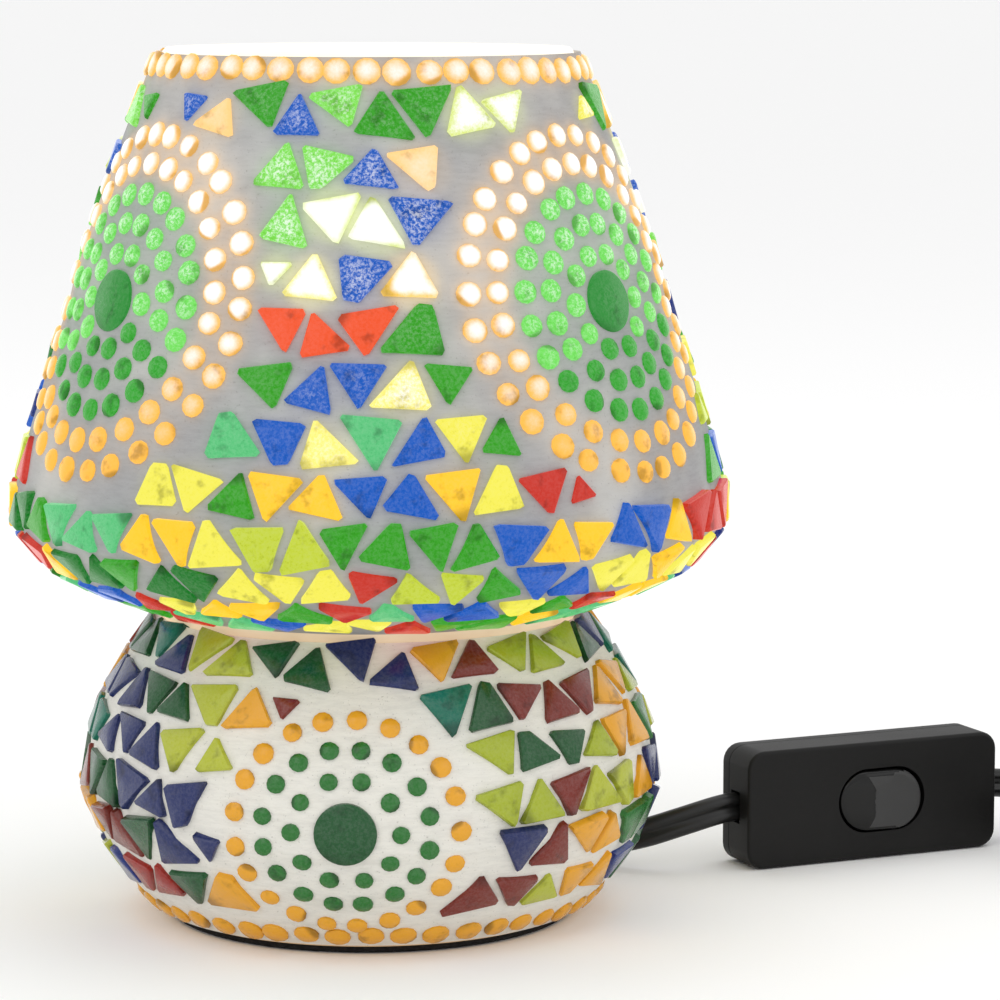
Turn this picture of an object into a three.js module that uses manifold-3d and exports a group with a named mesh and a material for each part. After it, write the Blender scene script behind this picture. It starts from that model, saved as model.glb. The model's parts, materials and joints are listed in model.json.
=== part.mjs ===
// A mosaic glass table lamp: a one-piece blown glass body with a shade above a narrow waist and
// a bulb-shaped base below it, both covered in a skin of grout and coloured glass. An E14 holder
// stands on a plate in the waist, and a flat twin cord runs out of the back of the base, through
// an inline rocker switch, to a coil and a flat two-pin plug.
//
// Millimetres, +Z up. The origin is the centre of the foot on the table, and -Y is the front.

import * as THREE from 'three';
import { mergeVertices } from 'three/addons/utils/BufferGeometryUtils.js';
import Module from 'manifold-3d';

const wasm = await Module();
wasm.setup();

// ---------------------------------------------------------------- driving dimensions

const SEAT_GAP = 0.3; // clearance between neighbours that touch
const LARGE_FACETS = 36; // facets around the glass and its skin
const SMALL_FACETS = 18; // facets around fittings

const FOOT_RADIUS = 46.2; // outside of the skin at the foot
const BELLY_RADIUS = 61; // widest point of the base
const BELLY_Z = 28.4;
const WAIST_RADIUS = 45.6;
const WAIST_Z = 64.7;
const SHOULDER_RADIUS = 75.2; // widest point of the shade
const SHOULDER_Z = 86;
const RIM_RADIUS = 44.7; // open mouth of the shade
const RIM_Z = 181.4;

const SKIN_THICKNESS = 2.6; // grout bed with the glass pieces in it
const GLASS_WALL = 2.4;
const GLASS_FLOOR = 3;
const GLASS_LIP = 0.5; // bare glass above the skin at the rim
const FLOOR_HOLE_RADIUS = 15;
const PAD_THICKNESS = 1.2;
const PAD_INSET = 0.6; // the pad's edge inside the glass floor's edge

const MEDALLION_DISC_RADIUS = 6.25;
const MEDALLION_DISC_THICKNESS = 2;
const MEDALLION_PROUD = 0.4; // how far a disc stands above the skin
const SHADE_MEDALLION_Z = 132;
const SHADE_MEDALLION_ANGLES = [-56, 50.5, 177]; // degrees from the front, + to the right
const BASE_MEDALLION_Z = 28;
const BASE_MEDALLION_ANGLES = [-5, 115, 235];

const PLATE_OVERHANG = 3.2; // how far the holder plate reaches past the narrowest glass
const PLATE_THICKNESS = 1.2;
const CLIP_COUNT = 3;
const CLIP_WIDTH = 8;
const CLIP_THICKNESS = 0.8;
const CLIP_REACH = 14.3; // from the rivets out to the narrowest glass
const RIVET_RADIUS = 1.4;
const RIVET_HEAD_RADIUS = 2.6;
const RIVET_HEAD_HEIGHT = 1;

const NIPPLE_ROOM = 0.65; // round the cord in the threaded tube
const NIPPLE_WALL = 1.1;
const NIPPLE_BELOW = 11;
const NIPPLE_ABOVE = 8;
const NUT_WALL = 2; // at the middle of a flat
const NUT_HEIGHT = 4;

const HOLDER_RADIUS = 14; // E14 lampholder, 28 mm across
const HOLDER_WALL = 1.8;
const HOLDER_CAP_HEIGHT = 14;
const HOLDER_CAP_FLOOR = 2.2;
const HOLDER_SKIRT_HEIGHT = 25;
const TERMINAL_BLOCK_HEIGHT = 6;
const TERMINAL_SCREW_RADIUS = 1.6;
const TERMINAL_SCREW_OFFSET = 7.4;
const CONTACT_STRIP_THICKNESS = 0.6;
const THREAD_SHELL_WALL = 0.5;
const THREAD_SHELL_HEIGHT = 20;

const BULB_CAP_RADIUS = 6.95; // E14, 13.9 mm over the thread
const BULB_CAP_WALL = 0.5;
const BULB_CAP_HEIGHT = 18;
const BULB_CONTACT_RADIUS = 2.4;
const BULB_CONTACT_HEIGHT = 1.2;
const BULB_INSULATOR_HEIGHT = 2.6;
const BULB_GLOBE_RADIUS = 22.5; // a 45 mm golf-ball bulb
const BULB_GLOBE_Z = 56; // globe centre above the bulb's contact
const BULB_GLASS_WALL = 0.7;
const BULB_NECK_RADIUS = 6.1;

const CORD_WIDTH = 6.5; // flat twin cord, on its edge along its whole run
const CORD_THICKNESS = 3.3;
const CORD_EXIT_Z = 14;
const CORD_REST_Z = CORD_WIDTH / 2 + 0.1; // its centre where it lies on the table
const LEAD_BEND = 24.2; // radius of both bends between the base and the switch
const INNER_CORD_BEND = 30; // radius at which it turns to the back of the base
const GROMMET_WALL = 2;
const GROMMET_PROUD = 1.5;

const SWITCH_LENGTH = 63;
const SWITCH_HEIGHT = 26.4;
const SWITCH_DEPTH = 13;
const SWITCH_CORNER = 3.2;
const SWITCH_WALL = 1.7;
const SWITCH_COVER_DEPTH = 3.5; // back cover's share of the depth
const SWITCH_CENTRE = { x: 109.7, y: 46.6 };
const SWITCH_ANGLE = 22.3; // degrees about Z
const SWITCH_SCREW_X = 23;
const SWITCH_SCREW_Z = 7.6;
const SWITCH_SCREW_RADIUS = 1.3;
const SWITCH_SCREW_HEAD = 2.5;
const ROCKER_HOLE_LENGTH = 21.8;
const ROCKER_HOLE_HEIGHT = 14.4;
const ROCKER_X = 2; // offset of the rocker towards the plug's end
const ROCKER_END_CLEARANCE = 0.6;
const ROCKER_TRAVEL = 16; // degrees between on and off
const ROCKER_PROUD = 1.6; // its flat side above the face in either position
const ROCKER_PIVOT_DEPTH = 4; // pivot pin behind the front face
const ROCKER_PIN_RADIUS = 0.8;

const PLUG_WIDTH = 35.3; // flat two-pin mains plug
const PLUG_THICKNESS = 13.7;
const PLUG_LENGTH = 34;
const PLUG_PIN_RADIUS = 2;
const PLUG_PIN_LENGTH = 19;
const PLUG_PIN_SPACING = 18.6;
const PLUG_RELIEF_LENGTH = 24;
const CORD_END_LENGTH = 20; // from where it is clear of the coil to the plug's strain relief

// The cord's coil beyond the switch, wound clockwise as seen from above.
const COIL_CENTRE = { x: 191, y: 37.4 };
const COIL_INNER = 27; // radii of the whole winding
const COIL_OUTER = 41.4;
const COIL_BASE_Z = 1.2;
const COIL_HEIGHT = 13.3; // two layers of cord on edge
const TIE_WIDTH = 8;
const TIE_THICKNESS = 0.8;
const TIE_ANGLE = -90; // degrees, the side of the coil that the tie is on

// ---------------------------------------------------------------- materials

function material(color, roughness, metalness = 0) {
  return new THREE.MeshStandardMaterial({ color, roughness, metalness });
}

const finish = {
  grout: material(0xcfcdc8, 0.9),
  clearGlass: material(0xe6efe9, 0.08),
  greenGlass: material(0x1d6b2b, 0.15),
  felt: material(0x2a2a2c, 0.95),
  steel: material(0xb9bcc0, 0.35, 1),
  brass: material(0xc9a24b, 0.3, 1),
  blackPlastic: material(0x16171a, 0.45),
  ceramic: material(0xeeeae2, 0.4),
  opalGlass: material(0xfff4dc, 0.35),
  nickel: material(0xc8c9cb, 0.25, 1),
  cordPvc: material(0x141416, 0.4),
  tieRubber: material(0x222326, 0.7),
};

// ---------------------------------------------------------------- geometry helpers

const radians = THREE.MathUtils.degToRad;
const mix = THREE.MathUtils.lerp;
const point = (r, z) => new THREE.Vector2(r, z);

function signedArea(points) {
  return points.reduce((sum, p, i) => sum + p.cross(points[(i + 1) % points.length]), 0) / 2;
}

/** A solid turned about Z from a closed (radius, z) outline. */
function turned(outline, facets) {
  const points = signedArea(outline) < 0 ? [...outline].reverse() : [...outline];
  const start = points.findIndex((p, i) => p.x === 0 && points.at(i - 1).x === 0);
  const order = start < 0 ? points : [...points.slice(start), ...points.slice(0, start)];
  if (start < 0) order.push(order[0].clone());
  return new THREE.LatheGeometry(order, facets).rotateX(Math.PI / 2);
}

/** A ring with a rectangular section. */
function ring(inner, outer, low, high, facets = SMALL_FACETS) {
  return turned([point(inner, low), point(outer, low), point(outer, high), point(inner, high)], facets);
}

/** A plain round rod on Z. */
function rod(radius, low, high, facets = SMALL_FACETS) {
  return turned([point(0, low), point(radius, low), point(radius, high), point(0, high)], facets);
}

function box(length, width, height, x, y, z) {
  return new THREE.BoxGeometry(length, width, height).translate(x, y, z);
}

/** Extrudes an (x, z) shape from y = back towards -Y. */
function extrudedForward(shape, back, depth) {
  const geometry = new THREE.ExtrudeGeometry(shape, { depth, bevelEnabled: false, curveSegments: 6 });
  return geometry.rotateX(Math.PI / 2).translate(0, back, 0);
}

/** Extrudes an (x, y) shape along Z, centred on z = 0. */
function extrudedUp(shape, height) {
  const geometry = new THREE.ExtrudeGeometry(shape, { depth: height, bevelEnabled: false });
  return geometry.translate(0, 0, -height / 2);
}

function roundedRectangle(width, height, radius, centreX = 0) {
  const [x, y] = [width / 2 - radius, height / 2 - radius];
  const shape = new THREE.Shape();
  shape.absarc(centreX + x, y, radius, 0, Math.PI / 2);
  shape.absarc(centreX - x, y, radius, Math.PI / 2, Math.PI);
  shape.absarc(centreX - x, -y, radius, Math.PI, 1.5 * Math.PI);
  shape.absarc(centreX + x, -y, radius, 1.5 * Math.PI, 2 * Math.PI);
  shape.closePath();
  return shape;
}

function toSolid(geometry) {
  const bare = geometry.clone();
  bare.deleteAttribute('normal');
  bare.deleteAttribute('uv');
  const merged = mergeVertices(bare);
  const index = merged.index.array;
  const triangles = [];
  for (let i = 0; i < index.length; i += 3) {
    const [a, b, c] = index.slice(i, i + 3);
    if (a !== b && b !== c && c !== a) triangles.push(a, b, c);
  }
  const vertProperties = merged.attributes.position.array;
  return new wasm.Manifold(new wasm.Mesh({ numProp: 3, vertProperties, triVerts: new Uint32Array(triangles) }));
}

function toGeometry(solid) {
  const mesh = solid.getMesh();
  const geometry = new THREE.BufferGeometry();
  geometry.setAttribute('position', new THREE.BufferAttribute(mesh.vertProperties, 3));
  geometry.setIndex(new THREE.BufferAttribute(mesh.triVerts, 1));
  geometry.computeVertexNormals();
  return geometry;
}

/** The body with every cutter taken out of it. */
function cut(body, cutters) {
  return toGeometry(cutters.reduce((solid, cutter) => solid.subtract(toSolid(cutter)), toSolid(body)));
}

/** A section swept along a smooth curve through the points. */
function swept(points, section, steps) {
  const path = new THREE.CatmullRomCurve3(points.map((p) => new THREE.Vector3(...p)), false, 'centripetal');
  return new THREE.ExtrudeGeometry(section, { steps, bevelEnabled: false, extrudePath: path });
}

/** An eight-sided outline with cut corners. */
function cutCorners(width, height, corner) {
  const [x, y] = [width / 2, height / 2];
  return new THREE.Shape([
    point(x, -y + corner), point(x, y - corner), point(x - corner, y), point(-x + corner, y),
    point(-x, y - corner), point(-x, -y + corner), point(-x + corner, -y), point(x - corner, -y),
  ]);
}

/** The flat cord's outline, its width along the section's x. */
function cordSection() {
  return cutCorners(CORD_WIDTH, CORD_THICKNESS, 0.3 * CORD_THICKNESS);
}

/** The flat cord's outline on edge, its width along the section's y, with a clearance. */
function uprightSection(clearance) {
  const extra = 2 * clearance;
  return cutCorners(CORD_THICKNESS + extra, CORD_WIDTH + extra, 0.3 * CORD_THICKNESS);
}

const lamp = new THREE.Group();

function addTo(group, name, geometry, surface) {
  const mesh = new THREE.Mesh(geometry, surface);
  mesh.name = name;
  group.add(mesh);
  return mesh;
}

// ---------------------------------------------------------------- outline of the glass body

const SKIN_FOOT_Z = PAD_THICKNESS + SEAT_GAP;

/** Base outline: [share of the radius step, share of the height step] between named points. */
const BASE_RISE = [[0, 0], [0.18, 0.1], [0.74, 0.52], [1, 1]];
const BASE_NECK = [[0.16, 0.41], [0.64, 0.78], [1, 1]];
const SHADE_FLARE = [[0, 0], [0.42, 0.23], [0.74, 0.45], [0.96, 0.7], [1, 1]];
const SHADE_CONE = [[0.05, 0.1], [0.305, 0.376], [0.593, 0.662], [1, 1]];

function stretch(shares, from, to) {
  return shares.map(([dr, dz]) => point(mix(from.x, to.x, dr), mix(from.y, to.y, dz)));
}

const foot = point(FOOT_RADIUS, SKIN_FOOT_Z);
const belly = point(BELLY_RADIUS, BELLY_Z);
const waistBelow = point(WAIST_RADIUS, WAIST_Z - SEAT_GAP / 2);
const waistAbove = point(WAIST_RADIUS, WAIST_Z + SEAT_GAP / 2);
const shoulder = point(SHOULDER_RADIUS, SHOULDER_Z);
const rim = point(RIM_RADIUS, RIM_Z);

const baseOutline = new THREE.SplineCurve([
  ...stretch(BASE_RISE, foot, belly), ...stretch(BASE_NECK, belly, waistBelow),
]).getSpacedPoints(8);
const shadeOutline = new THREE.SplineCurve([
  ...stretch(SHADE_FLARE, waistAbove, shoulder), ...stretch(SHADE_CONE, shoulder, rim),
]).getSpacedPoints(11);

/** Moves an outline that runs upwards by a distance towards the inside. */
function inset(outline, distance) {
  return outline.map((p, i) => {
    const before = outline[Math.max(i - 1, 0)];
    const after = outline[Math.min(i + 1, outline.length - 1)];
    const along = after.clone().sub(before).normalize();
    return point(p.x - along.y * distance, p.y + along.x * distance);
  });
}

function radiusAt(outline, z) {
  const i = outline.findIndex((p, k) => k > 0 && p.y >= z && outline[k - 1].y <= z);
  const [a, b] = [outline[i - 1], outline[i]];
  return mix(a.x, b.x, (z - a.y) / (b.y - a.y));
}

/** The part of an upward outline between two heights, with its ends at those heights. */
function between(outline, low, high) {
  const kept = outline.filter((p) => p.y > low + 0.05 && p.y < high - 0.05);
  const lowEnd = outline[0].y < low ? [point(radiusAt(outline, low), low)] : [];
  const last = outline.at(-1);
  const previous = outline.at(-2);
  const slope = (last.x - previous.x) / (last.y - previous.y);
  const highRadius = last.y > high ? radiusAt(outline, high) : last.x + slope * (high - last.y);
  return [...lowEnd, ...kept, point(highRadius, high)];
}

/** The whole body's outline at a depth below the skin's surface. */
function bodyOutline(depth) {
  const neck = point(WAIST_RADIUS - depth, WAIST_Z);
  return [...inset(baseOutline, depth), neck, ...inset(shadeOutline, depth)];
}

/** The unit normal of the skin at a height. */
function surfaceAt(outline, z, angle) {
  const slope = (radiusAt(outline, z + 2) - radiusAt(outline, z - 2)) / 4;
  const tilt = Math.atan(slope);
  const out = new THREE.Vector3(Math.sin(radians(angle)), -Math.cos(radians(angle)), 0);
  const normal = out.clone().multiplyScalar(Math.cos(tilt)).setZ(-Math.sin(tilt));
  const place = out.multiplyScalar(radiusAt(outline, z)).setZ(z);
  return { place, normal };
}

/** Turns a piece that was made on Z, with its top at z = 0, to face out of the skin. */
function onSurface(geometry, { place, normal }, proud) {
  const turn = new THREE.Quaternion().setFromUnitVectors(new THREE.Vector3(0, 0, 1), normal);
  const at = place.clone().addScaledVector(normal, proud);
  return geometry.applyQuaternion(turn).translate(at.x, at.y, at.z);
}

// ---------------------------------------------------------------- glass, skin and foot

const glassOuterDepth = SKIN_THICKNESS + SEAT_GAP;
const glassInnerDepth = glassOuterDepth + GLASS_WALL;
const glassFloorTop = SKIN_FOOT_Z + GLASS_FLOOR;
const glassInside = between(bodyOutline(glassInnerDepth), glassFloorTop, RIM_Z);
const cordHole = new THREE.CylinderGeometry(
  CORD_WIDTH / 2 + GROMMET_WALL + SEAT_GAP, CORD_WIDTH / 2 + GROMMET_WALL + SEAT_GAP, 40, SMALL_FACETS,
).translate(0, FOOT_RADIUS + 8, CORD_EXIT_Z);

function makeGlassBody() {
  const outside = [
    point(FOOT_RADIUS - glassOuterDepth, SKIN_FOOT_Z),
    ...between(bodyOutline(glassOuterDepth).slice(1), SKIN_FOOT_Z, RIM_Z),
  ];
  const floorHole = [point(FLOOR_HOLE_RADIUS, glassFloorTop), point(FLOOR_HOLE_RADIUS, SKIN_FOOT_Z)];
  const outline = [...outside, ...[...glassInside].reverse(), ...floorHole];
  addTo(lamp, 'glass_body', cut(turned(outline, LARGE_FACETS), [cordHole]), finish.clearGlass);
}

function medallionPockets(outline, z, angles) {
  return angles.map((angle) => onSurface(
    rod(MEDALLION_DISC_RADIUS + SEAT_GAP, -2 * SKIN_THICKNESS, SKIN_THICKNESS),
    surfaceAt(outline, z, angle), 0,
  ));
}

function makeSkins() {
  const top = RIM_Z - GLASS_LIP;
  const shadeShell = turned([
    ...between(shadeOutline, waistAbove.y - 1, top),
    ...between(inset(shadeOutline, SKIN_THICKNESS), waistAbove.y - 1, top).reverse(),
  ], LARGE_FACETS);
  const shadePockets = medallionPockets(shadeOutline, SHADE_MEDALLION_Z, SHADE_MEDALLION_ANGLES);
  addTo(lamp, 'mosaic_skin_shade', cut(shadeShell, shadePockets), finish.grout);

  const inner = inset(baseOutline, SKIN_THICKNESS).slice(1);
  const baseShell = turned([
    ...baseOutline, ...inner.reverse(), point(FOOT_RADIUS - SKIN_THICKNESS, SKIN_FOOT_Z),
  ], LARGE_FACETS);
  const basePockets = medallionPockets(baseOutline, BASE_MEDALLION_Z, BASE_MEDALLION_ANGLES);
  addTo(lamp, 'mosaic_skin_base', cut(baseShell, [...basePockets, cordHole]), finish.grout);
}

function makeMedallionDiscs(prefix, outline, z, angles) {
  angles.forEach((angle, i) => {
    const disc = rod(MEDALLION_DISC_RADIUS, -MEDALLION_DISC_THICKNESS, 0);
    const placed = onSurface(disc, surfaceAt(outline, z, angle), MEDALLION_PROUD);
    addTo(lamp, `${prefix}_medallion_disc_${i + 1}`, placed, finish.greenGlass);
  });
}

function makeFootPad() {
  const radius = FOOT_RADIUS - glassOuterDepth - PAD_INSET;
  addTo(lamp, 'foot_pad', rod(radius, 0, PAD_THICKNESS, LARGE_FACETS), finish.felt);
}

// ---------------------------------------------------------------- holder plate and its clips

const throatRadius = Math.min(...glassInside.filter((p) => p.y > BELLY_Z && p.y < SHOULDER_Z).map((p) => p.x));
const plateRadius = throatRadius + PLATE_OVERHANG;
const rivetCircle = throatRadius - CLIP_REACH;
const aboveThroat = glassInside.filter((p) => p.y >= WAIST_Z);
const seat = aboveThroat.findIndex((p) => p.x > plateRadius + SEAT_GAP);
const seatShare = (plateRadius + SEAT_GAP - aboveThroat[seat - 1].x)
  / (aboveThroat[seat].x - aboveThroat[seat - 1].x);
const plateLow = mix(aboveThroat[seat - 1].y, aboveThroat[seat].y, seatShare) + SEAT_GAP;
const plateTop = plateLow + PLATE_THICKNESS;
const clipAngles = Array.from({ length: CLIP_COUNT }, (_, i) => 30 + (360 / CLIP_COUNT) * i);

const nippleBore = CORD_WIDTH / 2 + NIPPLE_ROOM;
const nippleRadius = nippleBore + NIPPLE_WALL; // M10 with the usual cord

function around(geometry, angle) {
  return geometry.rotateZ(radians(angle));
}

function makeHolderPlate() {
  const rivetHole = () => rod(RIVET_RADIUS + SEAT_GAP, plateLow - 1, plateTop + 1).translate(rivetCircle, 0, 0);
  const plate = ring(nippleRadius + SEAT_GAP, plateRadius, plateLow, plateTop, LARGE_FACETS);
  const holes = clipAngles.map((angle) => around(rivetHole(), angle));
  addTo(lamp, 'holder_plate', cut(plate, holes), finish.steel);
}

/** A sprung strip under the plate that hooks below the narrowest part of the glass. */
function makeSpringClips() {
  const high = plateLow - SEAT_GAP;
  const elbow = throatRadius - 4;
  const toe = point(radiusAt(glassInside, WAIST_Z - 9) - SEAT_GAP - 0.4, WAIST_Z - 9);
  const centreLine = [
    point(rivetCircle - 5, high - CLIP_THICKNESS / 2), point(elbow - 1, high - CLIP_THICKNESS / 2),
    point(elbow, high - 1.6), point(elbow - 0.6, toe.y + 1.5), toe,
  ];
  const half = CLIP_THICKNESS / 2;
  const side = (sign) => inset(centreLine, sign * half);
  const shape = new THREE.Shape([...side(1), ...side(-1).reverse()]);
  clipAngles.forEach((angle, i) => {
    const strip = new THREE.ExtrudeGeometry(shape, { depth: CLIP_WIDTH, bevelEnabled: false })
      .translate(0, 0, -CLIP_WIDTH / 2).rotateX(Math.PI / 2);
    const hole = rod(RIVET_RADIUS + SEAT_GAP, high - 2, high + 1).translate(rivetCircle, 0, 0);
    addTo(lamp, `spring_clip_${i + 1}`, around(cut(strip, [hole]), angle), finish.steel);

    const below = high - CLIP_THICKNESS - SEAT_GAP;
    const above = plateTop + SEAT_GAP;
    const rivet = turned([
      point(0, below - RIVET_HEAD_HEIGHT), point(RIVET_HEAD_RADIUS, below - RIVET_HEAD_HEIGHT),
      point(RIVET_HEAD_RADIUS, below), point(RIVET_RADIUS, below), point(RIVET_RADIUS, above),
      point(RIVET_HEAD_RADIUS, above), point(RIVET_HEAD_RADIUS, above + RIVET_HEAD_HEIGHT),
      point(0, above + RIVET_HEAD_HEIGHT),
    ], 12).translate(rivetCircle, 0, 0);
    addTo(lamp, `clip_rivet_${i + 1}`, around(rivet, angle), finish.steel);
  });
}

function makeNippleAndNut() {
  const nipple = ring(nippleBore, nippleRadius, plateLow - NIPPLE_BELOW, plateTop + NIPPLE_ABOVE);
  addTo(lamp, 'threaded_nipple', nipple, finish.brass);

  const corner = (nippleRadius + NUT_WALL) / Math.cos(Math.PI / 6);
  const hexagon = new THREE.Shape(Array.from({ length: 6 }, (_, i) => (
    point(corner * Math.cos((i * Math.PI) / 3), corner * Math.sin((i * Math.PI) / 3))
  )));
  hexagon.holes.push(new THREE.Path().absarc(0, 0, nippleRadius + SEAT_GAP, 0, 2 * Math.PI));
  const nut = extrudedUp(hexagon, NUT_HEIGHT).translate(0, 0, plateLow - SEAT_GAP - NUT_HEIGHT / 2);
  addTo(lamp, 'lock_nut', nut, finish.steel);
}

// ---------------------------------------------------------------- lampholder

const capLow = plateTop + SEAT_GAP;
const capTop = capLow + HOLDER_CAP_HEIGHT;
const blockTop = capTop;
const blockLow = blockTop - TERMINAL_BLOCK_HEIGHT;
const sleeveInner = HOLDER_RADIUS - HOLDER_WALL;
const stripTop = blockTop + SEAT_GAP + CONTACT_STRIP_THICKNESS;
const shellRadius = BULB_CAP_RADIUS + SEAT_GAP + THREAD_SHELL_WALL;
const bulbContactZ = stripTop + SEAT_GAP;

function makeLampholder() {
  const cap = turned([
    point(nippleRadius + SEAT_GAP, capLow), point(HOLDER_RADIUS - 1.5, capLow),
    point(HOLDER_RADIUS, capLow + 1.5), point(HOLDER_RADIUS, capTop), point(sleeveInner, capTop),
    point(sleeveInner, capLow + HOLDER_CAP_FLOOR), point(nippleRadius + SEAT_GAP, capLow + HOLDER_CAP_FLOOR),
  ], SMALL_FACETS);
  addTo(lamp, 'holder_cap', cap, finish.blackPlastic);

  const block = rod(sleeveInner - SEAT_GAP, blockLow, blockTop);
  const sides = [-1, 1];
  const screwHole = (side) => rod(TERMINAL_SCREW_RADIUS + SEAT_GAP, blockLow - 1, blockTop + 1)
    .translate(0, side * TERMINAL_SCREW_OFFSET, 0);
  addTo(lamp, 'terminal_block', cut(block, sides.map(screwHole)), finish.ceramic);
  sides.forEach((side, i) => {
    const screw = rod(TERMINAL_SCREW_RADIUS, blockLow, blockTop, 12);
    addTo(lamp, `terminal_screw_${i + 1}`, screw.translate(0, side * TERMINAL_SCREW_OFFSET, 0), finish.brass);
  });

  const stripZ = stripTop - CONTACT_STRIP_THICKNESS / 2;
  const strip = box(2 * BULB_CAP_RADIUS - 4, 3.6, CONTACT_STRIP_THICKNESS, 0, 0, stripZ);
  addTo(lamp, 'centre_contact', strip, finish.brass);

  const shellLow = stripTop + SEAT_GAP;
  const shell = ring(shellRadius - THREAD_SHELL_WALL, shellRadius, shellLow, shellLow + THREAD_SHELL_HEIGHT);
  addTo(lamp, 'thread_shell', shell, finish.brass);

  const skirtLow = capTop + SEAT_GAP;
  const linerTop = skirtLow + HOLDER_SKIRT_HEIGHT - 1;
  const liner = ring(shellRadius + SEAT_GAP, sleeveInner - SEAT_GAP, skirtLow, linerTop);
  addTo(lamp, 'holder_liner', liner, finish.blackPlastic);
  const skirt = ring(sleeveInner, HOLDER_RADIUS, skirtLow, skirtLow + HOLDER_SKIRT_HEIGHT);
  addTo(lamp, 'holder_skirt', skirt, finish.blackPlastic);
}

// ---------------------------------------------------------------- bulb

function makeBulb() {
  const contactTop = bulbContactZ + BULB_CONTACT_HEIGHT;
  addTo(lamp, 'bulb_contact', rod(BULB_CONTACT_RADIUS, bulbContactZ, contactTop, 12), finish.nickel);

  const insulatorLow = contactTop + SEAT_GAP;
  const insulatorTop = insulatorLow + BULB_INSULATOR_HEIGHT;
  const insulator = turned([
    point(0, insulatorLow), point(BULB_CONTACT_RADIUS + 0.6, insulatorLow),
    point(BULB_CAP_RADIUS - 0.6, insulatorTop), point(0, insulatorTop),
  ], SMALL_FACETS);
  addTo(lamp, 'bulb_insulator', insulator, finish.blackPlastic);

  const capBottom = insulatorTop + SEAT_GAP;
  const capRim = capBottom + BULB_CAP_HEIGHT;
  const screwCap = ring(BULB_CAP_RADIUS - BULB_CAP_WALL, BULB_CAP_RADIUS, capBottom, capRim);
  addTo(lamp, 'bulb_screw_cap', screwCap, finish.nickel);

  const neckLow = capBottom + BULB_CAP_HEIGHT - 8;
  const globeZ = bulbContactZ + BULB_GLOBE_Z;
  const globe = (radius, neck) => {
    const joinAngle = Math.asin((neck + 3) / radius);
    const arc = Array.from({ length: 11 }, (_, i) => {
      const a = mix(joinAngle, Math.PI, i / 10);
      return point(i === 10 ? 0 : radius * Math.sin(a), globeZ - radius * Math.cos(a));
    });
    return [point(neck, neckLow), point(neck, capBottom + BULB_CAP_HEIGHT + 2), ...arc];
  };
  const neckInner = BULB_NECK_RADIUS - BULB_GLASS_WALL;
  const glass = [
    ...globe(BULB_GLOBE_RADIUS, BULB_NECK_RADIUS),
    ...globe(BULB_GLOBE_RADIUS - BULB_GLASS_WALL, neckInner).reverse(),
  ];
  addTo(lamp, 'bulb_glass', lathedGlobe(glass), finish.opalGlass);

  const stem = turned([
    point(0, neckLow), point(neckInner - SEAT_GAP, neckLow), point(neckInner - SEAT_GAP, neckLow + 4),
    point(1.6, neckLow + 12), point(1.6, globeZ - 4), point(0, globeZ - 4),
  ], 12);
  addTo(lamp, 'bulb_stem', stem, finish.clearGlass);
}

/** A thin round shell whose outline leaves and rejoins the axis at its top. */
function lathedGlobe(outline) {
  const top = outline.findIndex((p, i) => p.x === 0 && outline[i + 1].x === 0);
  const order = [...outline.slice(top + 1), ...outline.slice(0, top + 1)];
  return new THREE.LatheGeometry(order, SMALL_FACETS).rotateX(Math.PI / 2);
}

// ---------------------------------------------------------------- cord inside the base, and its exit

const exitInner = radiusAt(inset(baseOutline, glassInnerDepth), CORD_EXIT_Z - 3) - 4;
const exitOuter = radiusAt(baseOutline, CORD_EXIT_Z + CORD_WIDTH / 2 + GROMMET_WALL) + GROMMET_PROUD;
function makeInnerCord() {
  const high = blockLow - SEAT_GAP;
  const bendTop = CORD_EXIT_Z + INNER_CORD_BEND;
  const bend = Array.from({ length: 7 }, (_, i) => {
    const a = (i / 6) * (Math.PI / 2);
    return [0, INNER_CORD_BEND * (1 - Math.cos(a)), bendTop - INNER_CORD_BEND * Math.sin(a)];
  });
  const fall = [[0, 0, high], [0, 0, mix(high, bendTop, 0.5)]];
  const points = [...fall, ...bend, [0, exitOuter - SEAT_GAP, CORD_EXIT_Z]];
  addTo(lamp, 'inner_cord', swept(points, cordSection(), 16), finish.cordPvc);

  const bush = new THREE.CylinderGeometry(
    CORD_WIDTH / 2 + GROMMET_WALL, CORD_WIDTH / 2 + GROMMET_WALL, exitOuter - exitInner, SMALL_FACETS,
  ).translate(0, (exitInner + exitOuter) / 2, CORD_EXIT_Z);
  const bore = extrudedForward(uprightSection(SEAT_GAP), exitOuter + 5, exitOuter - exitInner + 10);
  addTo(lamp, 'cord_grommet', cut(bush, [bore.translate(0, 0, CORD_EXIT_Z)]), finish.tieRubber);
}

// ---------------------------------------------------------------- free cord, coil and tie

const alongSwitch = new THREE.Vector3(Math.cos(radians(SWITCH_ANGLE)), Math.sin(radians(SWITCH_ANGLE)), 0);

/** A point on the switch's long axis, at a distance from its middle and a height. */
function onSwitchAxis(distance, z) {
  return [SWITCH_CENTRE.x + alongSwitch.x * distance, SWITCH_CENTRE.y + alongSwitch.y * distance, z];
}

const switchEnd = SWITCH_LENGTH / 2 + SEAT_GAP;
const coilTurnRadius = COIL_OUTER - CORD_THICKNESS / 2 - SEAT_GAP;
const clearOfCoil = COIL_OUTER + CORD_WIDTH / 2 + SEAT_GAP;
const cordEndY = COIL_CENTRE.y - Math.sqrt(clearOfCoil ** 2 - coilTurnRadius ** 2);
const plugCordY = cordEndY - CORD_END_LENGTH;

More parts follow.
